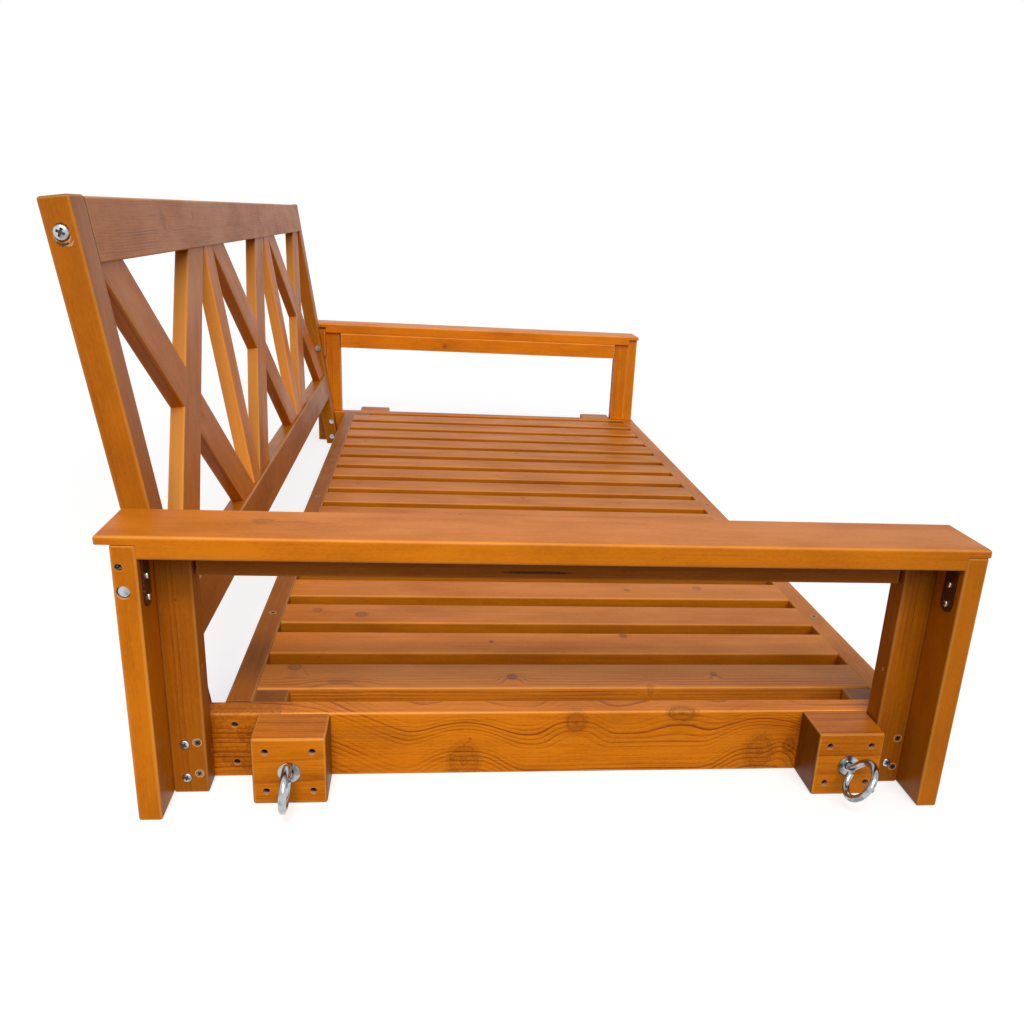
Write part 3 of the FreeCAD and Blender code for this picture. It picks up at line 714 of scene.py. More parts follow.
@dataclass(frozen=True)
class BareWood:
    """Drilled or turned wood without stain."""

    # Raw fir gives a pale, dry and fibrous surface beside the stained faces.
    # Down a hole it darkens with depth, as painted shade.
    name: str
    pale: str = "#E8B27C"
    deep: str = "#B9753E"
    hole_shade: str = "#241006"
    fibre_mm: float = 0.8
    roughness: float = 0.75

    def material(self) -> bpy.types.Material:
        """Make the finish.

        Returns:
            The material.
        """
        material, tree = blank_material(self.name)
        place = put(tree, "ShaderNodeTexCoord").outputs["Object"]
        fibre = put(tree, NOISE, {"Vector": place, "Scale": 1.0 / (self.fibre_mm * MM), "Detail": 4.0})
        raw = put(tree, MIX, {"Factor": fibre, 6: linear(self.pale), 7: linear(self.deep)},
                  data_type="RGBA")
        depth = put(tree, "ShaderNodeAttribute", attribute_name="depth").outputs["Fac"]
        hole_shade_mask = put(tree, MAP_RANGE, {0: depth, 1: 0.20, 2: 0.75, 3: 0.0, 4: 0.95},
                   interpolation_type="SMOOTHSTEP")
        colour = put(tree, MIX, {"Factor": hole_shade_mask, 6: raw.outputs[2], 7: linear(self.hole_shade)},
                     data_type="RGBA")
        bump = put(tree, "ShaderNodeBump", {"Strength": 0.4, "Distance": 0.2 * MM, "Height": fibre})
        shader = put(tree, "ShaderNodeBsdfPrincipled",
                     {"Base Color": colour.outputs[2], "Normal": bump, "Roughness": self.roughness})
        put(tree, "ShaderNodeOutputMaterial", {"Surface": shader})
        return material


# Sub-assemblies

@dataclass
class Deck:
    """Slatted deck: end rails, long rails, slats and corner blocks.

    Attributes:
        slats: number of slats.
        seed: seed for the cut of each slat.
    """

    slats: int = 17
    seed: int = 17

    def boards(self) -> list[Board]:
        """Choose how each board of the deck was cut.

        Returns:
            The boards.
        """
        # The broad last knot is painted shadow from the post and the hanger block on the rail's left end,
        # over swirled grain.
        near_knots_and_shade = (Knot(-32.0, 29.0, 13.0, 0.9, 0.8), Knot(114.0, -27.0, 21.0, 0.8, 0.75),
                      Knot(106.0, 6.0, 1.8), Knot(132.0, -20.0, 1.8), Knot(-174.0, 41.0, 9.0, 1.8),
                      Knot(-287.0, -17.0, 21.0, 0.8, 0.75), Knot(-328.0, -8.0, 9.0),
                      Knot(385.0, 14.0, 42.0, 1.1, 0.8))
        far_knots = (Knot(60.0, 12.0, 8.0), Knot(-210.0, -20.0, 7.0))
        rail_knots = (Knot(-640.0, 10.0, 7.0), Knot(180.0, -22.0, 8.0), Knot(700.0, 18.0, 6.0))
        boards = [
            Board("end_rail_left", AXIS_Y, AXIS_Z, 2.0, 1.06, (125.0, 30.0), 6.2, near_knots_and_shade),
            Board("end_rail_right", AXIS_Y, AXIS_Z, 0.75, 1.0, (-140.0, 40.0), 6.0, far_knots),
            Board("front_rail", AXIS_X, AXIS_Z, 0.45, 0.92, (140.0, 120.0), 6.0, rail_knots),
            # The rear rail's low tone is painted shade cast by the back.
            Board("rear_rail", AXIS_X, AXIS_Z, 0.45, 0.54, (-130.0, 120.0), 6.0, rail_knots),
        ]
        slat_knots = {1: (Knot(85.0, -4.0, 7.0, 0.85, 1.4), Knot(-207.0, 4.0, 4.5, 0.85, 1.4),
                          Knot(384.0, 29.0, 9.0), Knot(319.0, -20.0, 5.0, 3.0, 0.7),
                          Knot(-106.0, -37.0, 8.0, 0.5, 0.6)),
                      2: (Knot(106.0, 3.0, 3.5, 0.85, 1.8), Knot(-100.0, 28.0, 6.0, 0.85, 1.6)),
                      3: (Knot(305.0, -5.0, 8.0, 1.0, 1.2), Knot(374.0, 12.0, 7.0)),
                      4: (Knot(-273.0, 15.0, 7.0), Knot(-144.0, 2.0, 5.0, 0.85, 1.4))}
        near_slats: dict[int, dict[str, Any]] = {
            1: {"figure": 1.8, "tone": 0.84, "heart": (130.0, 245.0), "ring": 4.4, "pale": 0.1,
                "edge_shade": 1.03},
            2: {"tone": 1.14}}
        dice = random.Random(self.seed)
        for number in range(1, self.slats + 1):
            some = tuple(Knot(dice.uniform(-420.0, 420.0), dice.uniform(-32.0, 32.0),
                              dice.uniform(3.0, 6.0)) for _ in range(dice.choice((1, 2, 2, 3))))
            heart = (dice.choice((-1, 1)) * dice.uniform(140.0, 200.0), dice.uniform(40.0, 90.0))
            # The slats' narrow edges are darkened as painted shade in the gaps between them.
            board = Board("slat_%02d" % number, AXIS_Y, AXIS_X, dice.uniform(0.28, 0.42),
                          dice.uniform(0.94, 1.04), heart, dice.uniform(4.0, 6.0),
                          slat_knots.get(number, some), edge_shade=0.75)
            boards.append(replace(board, **near_slats.get(number, {})))
        return boards

    def build(self, timber: Timber) -> None:
        """Dress the boards and corner blocks of the deck.

        Args:
            timber: maker of board finishes.
        """
        for board in self.boards():
            timber.wear(board)
        block = Board("corner_blocks", AXIS_Z, AXIS_Y, 0.5, 0.95, (40.0, 60.0), 5.0)
        dress(block.node, timber.finish(block, self.fold(block.node)))

    @staticmethod
    def fold(node: str) -> tuple[Vector, Vector, Vector]:
        """Find how like blocks of one node lie round their middle.

        Args:
            node: node of blocks at the corners of a rectangle.

        Returns:
            Their middle, the distance of one block from it, and its half sizes along the axes of the bed.
        """
        boxes = [(part.min(axis=0), part.max(axis=0)) for part in solids_of(node)]
        mids = np.array([(low + high) / 2 for low, high in boxes])
        middle = (mids.min(axis=0) + mids.max(axis=0)) / 2
        sizes = (boxes[0][1] - boxes[0][0]) / 2
        return Vector(middle), Vector(np.abs(mids[0] - middle)), Vector(sizes)


@dataclass
class Posts:
    """Four L-shaped posts, each an outer and an inner board.

    Attributes:
        ends: ends of the bed.
        corners: corners of an end.
        tones: brightness of the outer and the inner board of each post; the low left values are painted
            shade, under the arms and toward the front, and the high right values are painted light.
        seed: seed for the cut of each board.
    """

    ends: tuple[str, ...] = ("left", "right")
    corners: tuple[str, ...] = ("rear", "front")
    # Low left values are painted shade; high right values are painted light on the far end.
    tones: dict[tuple[str, str], tuple[float, float]] = field(default_factory=lambda: {
        ("left", "rear"): (0.94, 0.60), ("left", "front"): (0.78, 0.60),
        ("right", "rear"): (1.15, 1.20), ("right", "front"): (1.15, 1.20)})
    seed: int = 4

    def build(self, timber: Timber) -> None:
        """Dress the boards of the posts.

        Args:
            timber: maker of board finishes.
        """
        dice = random.Random(self.seed)
        nail = Knot(94.0, 0.0, 1.4)
        for end in self.ends:
            for corner in self.corners:
                knots = (nail,) if (end, corner) == ("left", "rear") else ()
                outer, inner = self.tones[end, corner]
                timber.wear(Board(f"post_outer_{end}_{corner}", AXIS_Z, AXIS_X, 0.16, outer,
                                  (dice.uniform(-20.0, 20.0), 110.0), 6.5, ()))
                timber.wear(Board(f"post_inner_{end}_{corner}", AXIS_Z, AXIS_Y, 0.60, inner,
                                  (230.0, dice.uniform(90.0, 130.0)), 5.5, knots, open_side=1.0))


@dataclass
class Arms:
    """Two rabbeted arm boards and the aprons below them.

    Attributes:
        ends: ends of the bed.
        tones: brightness of the arm and the apron of each end; the low left apron value is painted shade
            under the arm, and the high right values are painted light on the far end.
    """

    ends: tuple[str, ...] = ("left", "right")
    # The low left apron value is painted shade under the arm; the high right values are painted light.
    tones: dict[str, tuple[float, float]] = field(
        default_factory=lambda: {"left": (0.97, 0.62), "right": (1.3, 1.3)})

    def build(self, timber: Timber) -> None:
        """Dress the arms and the aprons.

        Args:
            timber: maker of board finishes.
        """
        arm_knots = {"left": (Knot(342.0, 11.0, 8.0, 1.2, 0.8), Knot(310.0, 9.0, 3.0, 5.0, 0.7)),
                     "right": (Knot(120.0, -20.0, 6.0),)}
        apron_knots = {"left": (Knot(31.0, -12.0, 1.5, 20.0, 2.5),), "right": (Knot(110.0, -4.0, 6.0),)}
        for end in self.ends:
            arm, apron = self.tones[end]
            timber.wear(Board(f"arm_{end}", AXIS_Y, AXIS_X, 0.16, arm, (-15.0, -120.0), 9.0,
                              arm_knots[end]))
            timber.wear(Board(f"apron_{end}", AXIS_Y, AXIS_Z, 0.40, apron, (120.0, 90.0), 6.0,
                              apron_knots[end]))


@dataclass
class LeaningBack:
    """Back that leans between two stiles: rails, dividers, crossed braces, spacers and dowels.

    Attributes:
        lean_deg: lean of the back from upright.
        brace_deg: slope of the braces in the plane of the back.
        panels: panels of the back.
    """

    lean_deg: float = 8.7
    brace_deg: float = 40.2
    panels: tuple[str, ...] = ("left", "middle", "right")

    def build(self, timber: Timber, plain: BareWood) -> None:
        """Dress the boards of the back.

        Args:
            timber: maker of board finishes.
            plain: finish of the hidden dowels.
        """
        lean = math.radians(self.lean_deg)
        rise = Vector((0.0, math.sin(lean), math.cos(lean)))
        slant = math.radians(self.brace_deg)
        up_right = AXIS_X * math.cos(slant) + rise * math.sin(slant)
        down_right = AXIS_X * math.cos(slant) - rise * math.sin(slant)
        top_knots = (Knot(-632.0, 8.0, 12.0, 0.8, 0.6), Knot(-430.0, 12.0, 5.0), Knot(240.0, 10.0, 5.0),
                     Knot(720.0, -12.0, 5.0))
        low_knots = (Knot(-300.0, 5.0, 6.0), Knot(500.0, -8.0, 7.0))
        timber.wear(Board("back_top_rail", AXIS_X, rise, 0.80, 0.84, (300.0, 20.0), 3.6, top_knots,
                          open_side=1.0))
        timber.wear(Board("back_bottom_rail", AXIS_X, rise, 0.45, 0.68, (-150.0, 110.0), 6.0, low_knots,
                          open_side=1.0))
        for number, end in enumerate(("left", "right")):
            timber.wear(Board(f"stile_{end}", rise, AXIS_X, 0.25, 0.72, (160.0, 110.0 + 20 * number), 6.0))
            timber.wear(Board(f"back_divider_{end}", rise, AXIS_X, 0.45, 1.12, (60.0, 90.0 - 170 * number),
                              5.5, pale=0.1, pale_edge=0.3))
        for number, panel in enumerate(self.panels):
            through = self.cross(up_right, rise)
            split = self.cross(down_right, rise)
            timber.wear(Board(f"brace_through_{panel}", up_right, through, 0.5, 0.92,
                              (60.0, 90.0 - 80 * number), 5.5, pale_edge=0.45))
            timber.wear(Board(f"brace_split_{panel}", down_right, split, 0.45, 0.94,
                              (-120.0, 90.0 + 20 * number), 6.0))
        spacer = Board("back_spacers", AXIS_Z, AXIS_X, 0.5, 0.95, (40.0, 60.0), 5.0)
        dress(spacer.node, timber.finish(spacer, Deck.fold(spacer.node)))
        dress("divider_dowels", plain.material())

    @staticmethod
    def cross(grain: Vector, rise: Vector) -> Vector:
        """Direction across a brace, in the plane of the back."""
        return (rise - grain * rise.dot(grain)).normalized()


@dataclass
class Hangers:
    """Hanger blocks with their bent eye bolts.

    Attributes:
        ring: radius of the eye to the middle of the wire.
        wire: radius of the wire.
        bend_deg: part of the ring that the bend from the shank takes.
        gap_deg: part of the ring left open at its free end.
        nut_flats: width of the lock nut.
        nut_height: height of the lock nut.
        tail: length of thread past the nut.
        rear_turn_deg: turn of the rear eyes about their shanks.
        front_turn_deg: turn of the front eyes about their shanks.
        ring_steps: parts of the ring.
        bend_steps: parts of the bend.
        round_steps: sides of the wire.
        neck: distance from the ring to the straight shank, in radii of the wire.
        pull: how far the bend holds to the shank and to the ring, in radii of the wire.
    """

    ring: float = 25.0 * MM
    wire: float = 4.75 * MM
    bend_deg: float = 34.0
    gap_deg: float = 9.0
    nut_flats: float = 14.0 * MM
    nut_height: float = 8.0 * MM
    tail: float = 5.0 * MM
    rear_turn_deg: float = 5.0
    front_turn_deg: float = 31.0
    ring_steps: int = 72
    bend_steps: int = 12
    round_steps: int = 20
    neck: float = 2.7
    pull: tuple[float, float] = (1.0, 1.6)

    def eye_tree(self) -> bpy.types.NodeTree:
        """Build the tree that sweeps a round wire along a path and sets a nut near its start.

        Returns:
            The geometry tree.
        """
        tree, given = group_tree(
            "Bent eye", "GeometryNodeTree",
            {"Path": "Geometry", "Wire Radius": "Float", "Nut Radius": "Float", "Nut Height": "Float",
             "Nut Place": "Vector", "Nut Turn": "Vector", "Finish": "Material"},
            {"Geometry": "Geometry"})
        line = put(tree, "GeometryNodeMeshToCurve", {"Mesh": given["Path"]})
        section = put(tree, "GeometryNodeCurvePrimitiveCircle",
                      {"Resolution": self.round_steps, "Radius": given["Wire Radius"]})
        wire = put(tree, "GeometryNodeCurveToMesh",
                   {"Curve": line, "Profile Curve": section, "Fill Caps": True})
        smooth = put(tree, "GeometryNodeSetShadeSmooth", {"Geometry": wire})
        block = put(tree, "GeometryNodeMeshCylinder",
                    {"Vertices": 6, "Radius": given["Nut Radius"], "Depth": given["Nut Height"]})
        bore = put(tree, "GeometryNodeMeshCylinder",
                   {"Vertices": self.round_steps, "Radius": given["Wire Radius"],
                    "Depth": given["Nut Radius"]})
        nut = put(tree, "GeometryNodeMeshBoolean", {"Mesh 1": block, "Mesh 2": bore},
                  operation="DIFFERENCE", solver="EXACT")
        placed = put(tree, TRANSFORM,
                     {"Geometry": nut, "Translation": given["Nut Place"], "Rotation": given["Nut Turn"]})
        both = put(tree, "GeometryNodeJoinGeometry", {0: [smooth, placed]})
        whole = put(tree, "GeometryNodeRealizeInstances", {0: both})
        painted = put(tree, "GeometryNodeSetMaterial", {"Geometry": whole, "Material": given["Finish"]})
        put(tree, "NodeGroupOutput", {"Geometry": painted})
        return tree

    def eye_path(self, shank: float) -> list[Vector]:
        """Lay out the wire with the eye's middle at the origin and the shank along +Z.

        Args:
            shank: length from the eye's middle to the end of the thread.

        Returns:
            Points along the middle of the wire.
        """
        start, stop = math.radians(self.bend_deg), math.radians(360.0 - self.gap_deg)
        circle = [start + (stop - start) * k / self.ring_steps for k in range(self.ring_steps + 1)]
        ring = [Vector((self.ring * math.sin(angle), 0.0, self.ring * math.cos(angle))) for angle in circle]
        neck = Vector((0.0, 0.0, self.ring + self.neck * self.wire))
        handle = Vector((0.0, 0.0, self.ring + self.pull[0] * self.wire))
        lead = ring[0] + (ring[0] - ring[1]).normalized() * self.pull[1] * self.wire
        bend = []
        for k in range(1, self.bend_steps):
            share = k / self.bend_steps
            left = 1.0 - share
            bend.append(neck * left ** 3 + handle * (3 * left ** 2 * share) + lead * (3 * left * share ** 2)
                        + ring[0] * share ** 3)
        return [Vector((0.0, 0.0, shank)), neck] + bend + ring

    def build(self, timber: Timber, zinc: bpy.types.Material) -> None:
        """Dress the hanger blocks and build the four eye bolts.

        Args:
            timber: maker of board finishes.
            zinc: finish of the eye bolts and washers.
        """
        blocks = Board("hanger_blocks", AXIS_Y, AXIS_Z, 1.2, 0.96, (150.0, 10.0), 3.8)
        dress(blocks.node, timber.finish(blocks, Deck.fold(blocks.node)))
        dress("washers", zinc)
        tree = self.eye_tree()
        for body in (Body.EYE_LEFT_REAR, Body.EYE_LEFT_FRONT, Body.EYE_RIGHT_REAR, Body.EYE_RIGHT_FRONT):
            self.eye(body, tree, zinc)

    def eye(self, body: Body, tree: bpy.types.NodeTree, zinc: bpy.types.Material) -> None:
        """Build one eye bolt in place of its CAD node.

        Args:
            body: body of the eye bolt.
            tree: tree of the bent eye.
            zinc: finish of the eye.
        """
        node = body.value.replace("eye_", "eye_bolt_")
        low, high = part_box(node)
        inward = 1.0 if "left" in node else -1.0
        outer = low.x if inward > 0 else high.x
        inner = high.x if inward > 0 else low.x
        joint = next(item for item in frame["joints"] if item["child"] == body.value)
        middle = Vector(joint["pos_m"])
        middle.x = outer + inward * (self.ring + self.wire)
        turn_deg = self.rear_turn_deg if "rear" in node else self.front_turn_deg
        turn = Matrix.Rotation(math.radians(turn_deg), 3, "X")
        lie = Matrix(((0.0, 0.0, inward), (0.0, 1.0, 0.0), (1.0, 0.0, 0.0)))
        path = [middle + turn @ (lie @ point) for point in self.eye_path(abs(inner - middle.x))]
        mesh = bpy.data.meshes.new(node + "_path")
        mesh.from_pydata(path, [(k, k + 1) for k in range(len(path) - 1)], [])
        seat = Vector((inner - inward * (self.tail + self.nut_height / 2), middle.y, middle.z))
        piece = grow("bent_" + node, tree, mesh,
                     {"Wire Radius": self.wire, "Nut Radius": self.nut_flats / math.sqrt(3.0),
                      "Nut Height": self.nut_height, "Nut Place": seat, "Nut Turn": (0.0, math.pi / 2, 0.0),
                      "Finish": zinc})
        settle(piece, body, "zinc_hardware", node)


@dataclass
class Fasteners:
    """Screws, bolts, nuts, angle brackets and the bare or torn wood round their holes.

    Attributes:
        facets: sides of a round head.
        slot_width: width of the cross in a screw head.
        slot_depth: depth of the cross.
        slot_reach: length of the cross against the head's radius.
        flat_top: power that presses a dome into a pan head.
        liner: thickness of the bare wood drawn inside a counterbore.
        seed: seed for the turn of each head.
        flush: distance that keeps faces apart.
        screw_bore: radius of the counterbores of screws.
        bolt_bore: radius of the counterbores of edge bolts.
        bolt_bore_depth: depth of the counterbores of edge bolts.
        screw_bores: depth of the counterbores of screws, by board.
        tears: torn strips round a bolt: first and last angle, inner radius, width and lift in
            millimetres, darkness; the dark strips are painted shadow round the head.
        tear_steps: parts of a torn strip.
        tear_foot: height of the foot of a torn strip, in millimetres.
        tear_swell: width of a torn strip at its ends, and the least and the most that its middle adds.
        torn_above: height above which bolts have torn wood round them, in metres.
        screw_head: radius of the head of a wood screw.
        screw_height: height of the head of a wood screw.
        pan_head: radius of the head of a bracket screw.
        pan_height: height of the head of a bracket screw.
        screw_shank: radius of the shank of a screw.
        edge_bolt: radius of the head of a bolt in the edge of a post.
        bolt_kinds: head shape, head radius, head height and shank radius of each kind of bolt.
        near: distance at which two faces count as one.
        aligned: part of a direction above which it counts as along an axis.
        like: difference at which two sizes count as one.
        dome_rings: rings of facets on a pan head.
        shank_sides: sides of a shank.
        crease_deg: angle past which an edge of a fastener looks sharp.
        rim_width: width of the bare rim round a flush screw.
        rim_lift: height of a bare rim over the stained face.
        nail_hole: radius of a nail hole in an inner post.
        nails: nail holes by corner, distance from the outer face and height, in millimetres.
    """

    facets: int = 24
    slot_width: float = 1.5 * MM
    slot_depth: float = 1.8 * MM
    slot_reach: float = 1.15
    flat_top: float = 0.40
    liner: float = 0.22 * MM
    seed: int = 11
    flush: float = 0.02 * MM
    screw_bore: float = 4.7 * MM
    bolt_bore: float = 7.8 * MM
    bolt_bore_depth: float = 12.0 * MM
    screw_bores: dict[str, float] = field(default_factory=lambda: {
        "hanger_blocks": 14.0 * MM, "end_rail": 10.0 * MM, "post_outer": 5.0 * MM})
    tears: tuple[tuple[float, float, float, float, float, float], ...] = (
        (35.0, 160.0, 8.2, 1.8, 0.10, 1.0), (190.0, 350.0, 8.2, 1.5, 0.10, 1.0),
        (198.0, 262.0, 9.6, 2.2, 0.5, 0.0), (288.0, 336.0, 9.6, 1.6, 0.4, 0.0),
        (228.0, 306.0, 11.4, 3.0, 0.2, 1.0), (212.0, 258.0, 13.6, 2.4, 0.6, 0.0))
    tear_steps: int = 18
    tear_foot: float = 0.02
    tear_swell: tuple[float, float, float] = (0.2, 0.2, 1.2)
    torn_above: float = 0.6
    screw_head: float = 4.4 * MM
    screw_height: float = 3.0 * MM
    pan_head: float = 4.6 * MM
    pan_height: float = 2.4 * MM
    screw_shank: float = 2.4 * MM
    edge_bolt: float = 6.3 * MM
    bolt_kinds: tuple[tuple[Head, float, float, float], ...] = (
        (Head.PAN, 6.0 * MM, 3.2 * MM, 3.0 * MM), (Head.PLUG, 6.3 * MM, 8.0 * MM, 4.0 * MM),
        (Head.PAN, 8.4 * MM, 4.5 * MM, 4.0 * MM))
    near: float = 0.5 * MM
    aligned: float = 0.5
    like: float = 0.1 * MM
    dome_rings: int = 24
    shank_sides: int = 12
    crease_deg: float = 35.0
    rim_width: float = 1.3 * MM
    rim_lift: float = 0.12 * MM
    nail_hole: float = 1.3 * MM
    nails: tuple[tuple[str, float, float], ...] = (
        ("rear", 12.7, 166.7), ("rear", 29.9, 43.0), ("front", 13.4, 162.5))

    def blank_head(self, tree: bpy.types.NodeTree, given: Any, head: Head) -> bpy.types.Node:
        """Add the nodes of a plain head.

        Args:
            tree: tree of the fastener.
            given: sockets that give the tree's inputs.
            head: shape of the head.

        Returns:
            The node that gives the head.
        """
        tall, wide = given["Head Height"], given["Head Radius"]
        if head is Head.PAN:
            ball = put(tree, "GeometryNodeMeshUVSphere",
                       {"Segments": self.facets, "Rings": self.dome_rings, "Radius": 1.0})
            spot = put(tree, "ShaderNodeSeparateXYZ", {0: put(tree, "GeometryNodeInputPosition")}).outputs
            above = put(tree, MATH, {0: spot[2], 1: 0.0}, operation="MAXIMUM")
            full = put(tree, MATH, {0: above, 1: self.flat_top}, operation="POWER")
            pressed = put(tree, COMBINE, {"X": spot[0], "Y": spot[1], "Z": full})
            dome = put(tree, "GeometryNodeSetPosition", {"Geometry": ball, "Position": pressed})
            spread = put(tree, COMBINE, {"X": wide, "Y": wide, "Z": tall})
            return put(tree, TRANSFORM, {"Geometry": dome, "Scale": spread})
        if head is Head.COUNTERSUNK:
            blank = put(tree, "GeometryNodeMeshCone",
                        {"Vertices": self.facets, "Radius Top": wide,
                         "Radius Bottom": given["Shank Radius"], "Depth": tall})
            share = -1.0
        else:
            blank = put(tree, "GeometryNodeMeshCylinder",
                        {"Vertices": self.facets, "Radius": wide, "Depth": tall})
            share = 0.5
        rise = put(tree, MATH, {0: tall, 1: share}, operation="MULTIPLY")
        lift = put(tree, COMBINE, {"Z": rise})
        return put(tree, TRANSFORM, {"Geometry": blank, "Translation": lift})

    @staticmethod
    def cut_cross(tree: bpy.types.NodeTree, given: Any, head: Head, body: bpy.types.Node) -> bpy.types.Node:
        """Add the nodes that cut a cross into a head and mark its walls as a recess.

        Args:
            tree: tree of the fastener.
            given: sockets that give the tree's inputs.
            head: shape of the head.
            body: node that gives the plain head.

        Returns:
            The node that gives the head with its cross.
        """
        face = 0.0 if head is Head.COUNTERSUNK else given["Head Height"]
        deep = put(tree, MATH, {0: given["Slot Depth"], 1: 2.0}, operation="MULTIPLY")
        size = put(tree, COMBINE, {"X": given["Slot Length"], "Y": given["Slot Width"], "Z": deep})
        bar = put(tree, "GeometryNodeMeshCube", {"Size": size})
        high = put(tree, COMBINE, {"Z": face})
        bars = [put(tree, TRANSFORM, {"Geometry": bar, "Translation": high, "Rotation": (0.0, 0.0, turn)})
                for turn in (0.0, math.pi / 2)]
        crossed = put(tree, "GeometryNodeMeshBoolean", {"Mesh 1": body, "Mesh 2": bars},
                      operation="DIFFERENCE", solver="EXACT")
        spot = put(tree, "GeometryNodeInputPosition")
        level = put(tree, VECTOR_MATH, {0: spot, 1: (2.0, 2.0, 0.0)}, operation="MULTIPLY")
        width = put(tree, VECTOR_MATH, {0: level}, operation="LENGTH")
        inside = put(tree, MATH, {0: width.outputs["Value"], 1: given["Slot Length"]},
                     operation="LESS_THAN")
        height = put(tree, "ShaderNodeSeparateXYZ", {0: spot}).outputs[2]
        fall = put(tree, MATH, {0: face, 1: height}, operation="SUBTRACT")
        shallow = put(tree, MATH, {0: given["Slot Depth"], 1: 0.4}, operation="MULTIPLY")
        below = put(tree, MATH, {0: fall, 1: shallow}, operation="GREATER_THAN")
        sunk = put(tree, MATH, {0: inside, 1: below}, operation="MULTIPLY")
        return put(tree, "GeometryNodeStoreNamedAttribute",
                   {"Geometry": crossed, "Name": "recess", "Value": sunk}, data_type="FLOAT", domain="FACE")

    @staticmethod
    def stance(tree: bpy.types.NodeTree) -> tuple[Any, Any, bpy.types.Node]:
        """Add the nodes that read how the fastener of each point lies.

        Args:
            tree: tree that starts from points.

        Returns:
            The outward direction, the length below the point, and the turn that stands a piece on the point.
        """
        aim = put(tree, "GeometryNodeInputNamedAttribute", {"Name": "outward"},
                  data_type="FLOAT_VECTOR").outputs["Attribute"]
        run = put(tree, "GeometryNodeInputNamedAttribute", {"Name": "run"},
                  data_type="FLOAT").outputs["Attribute"]
        return aim, run, put(tree, "FunctionNodeAlignRotationToVector", {"Vector": aim}, axis="Z")

    def head_tree(self, head: Head) -> bpy.types.NodeTree:
        """Build the tree that sets a screw or bolt on each point.

        Args:
            head: shape of the head.

        Returns:
            The geometry tree.
        """
        tree, given = group_tree(
            "Fastener " + head.value, "GeometryNodeTree",
            {"Points": "Geometry", "Head Radius": "Float", "Head Height": "Float", "Shank Radius": "Float",
             "Slot Width": "Float", "Slot Length": "Float", "Slot Depth": "Float", "Seed": "Int",
             "Finish": "Material"},
            {"Geometry": "Geometry"})
        body = self.blank_head(tree, given, head)
        if head is not Head.PLUG:
            body = self.cut_cross(tree, given, head, body)
        aim, run, stand = self.stance(tree)

        # Heads, each turned by chance about its own axis
        chance = put(tree, "FunctionNodeRandomValue", {2: 0.0, 3: math.pi, "Seed": given["Seed"]},
                     data_type="FLOAT")
        twist = put(tree, COMBINE, {"Z": chance.outputs[1]})
        spin = put(tree, "FunctionNodeEulerToRotation", {0: twist})
        turned = put(tree, "FunctionNodeRotateRotation", {"Rotation": stand, "Rotate By": spin},
                     rotation_space="LOCAL")
        heads = put(tree, "GeometryNodeInstanceOnPoints",
                    {"Points": given["Points"], "Instance": body, "Rotation": turned})

        # Shanks, each as long as its fastener
        sunk_by = given["Head Height"] if head is Head.COUNTERSUNK else 0.0
        back = put(tree, MATH, {0: sunk_by, 1: -1.0}, operation="MULTIPLY")
        under = put(tree, VECTOR_MATH, {0: aim, "Scale": back}, operation="SCALE")
        roots = put(tree, "GeometryNodeSetPosition", {"Geometry": given["Points"], "Offset": under})
        length = put(tree, MATH, {0: run, 1: sunk_by}, operation="SUBTRACT")
        rod = put(tree, "GeometryNodeMeshCylinder",
                  {"Vertices": self.shank_sides, "Radius": given["Shank Radius"], "Depth": 1.0})
        hung = put(tree, TRANSFORM, {"Geometry": rod, "Translation": (0.0, 0.0, -0.5)})
        stretch = put(tree, COMBINE, {"X": 1.0, "Y": 1.0, "Z": length})
        shanks = put(tree, "GeometryNodeInstanceOnPoints",
                     {"Points": roots, "Instance": hung, "Rotation": stand, "Scale": stretch})

        # One mesh with sharp edges where the metal is cut
        both = put(tree, "GeometryNodeJoinGeometry", {0: [heads, shanks]})
        whole = put(tree, "GeometryNodeRealizeInstances", {0: both})
        crease = put(tree, "FunctionNodeCompare",
                     {0: put(tree, "GeometryNodeInputMeshEdgeAngle"), 1: math.radians(self.crease_deg)},
                     data_type="FLOAT", operation="GREATER_THAN")
        soft = put(tree, "GeometryNodeSetShadeSmooth", {"Geometry": whole, "Shade Smooth": True},
                   domain="FACE")
        sharp = put(tree, "GeometryNodeSetShadeSmooth",
                    {"Geometry": soft, "Selection": crease, "Shade Smooth": False}, domain="EDGE")
        painted = put(tree, "GeometryNodeSetMaterial", {"Geometry": sharp, "Material": given["Finish"]})
        put(tree, "NodeGroupOutput", {"Geometry": painted})
        return tree

    @staticmethod
    def points(name: str, places: list[tuple[Vector, Vector, float]]) -> bpy.types.Mesh:
        """Make the points that a fastener tree starts from.

        Args:
            name: name of the mesh.
            places: point, outward direction and length below the point.

        Returns:
            The mesh of points.
        """
        mesh = bpy.data.meshes.new(name)
        mesh.from_pydata([at for at, _, _ in places], [], [])
        mesh.attributes.new("outward", "FLOAT_VECTOR", "POINT")
        mesh.attributes.new("run", "FLOAT", "POINT")
        for k, (_, outward, run) in enumerate(places):
            mesh.attributes["outward"].data[k].vector = outward
            mesh.attributes["run"].data[k].value = run
        return mesh

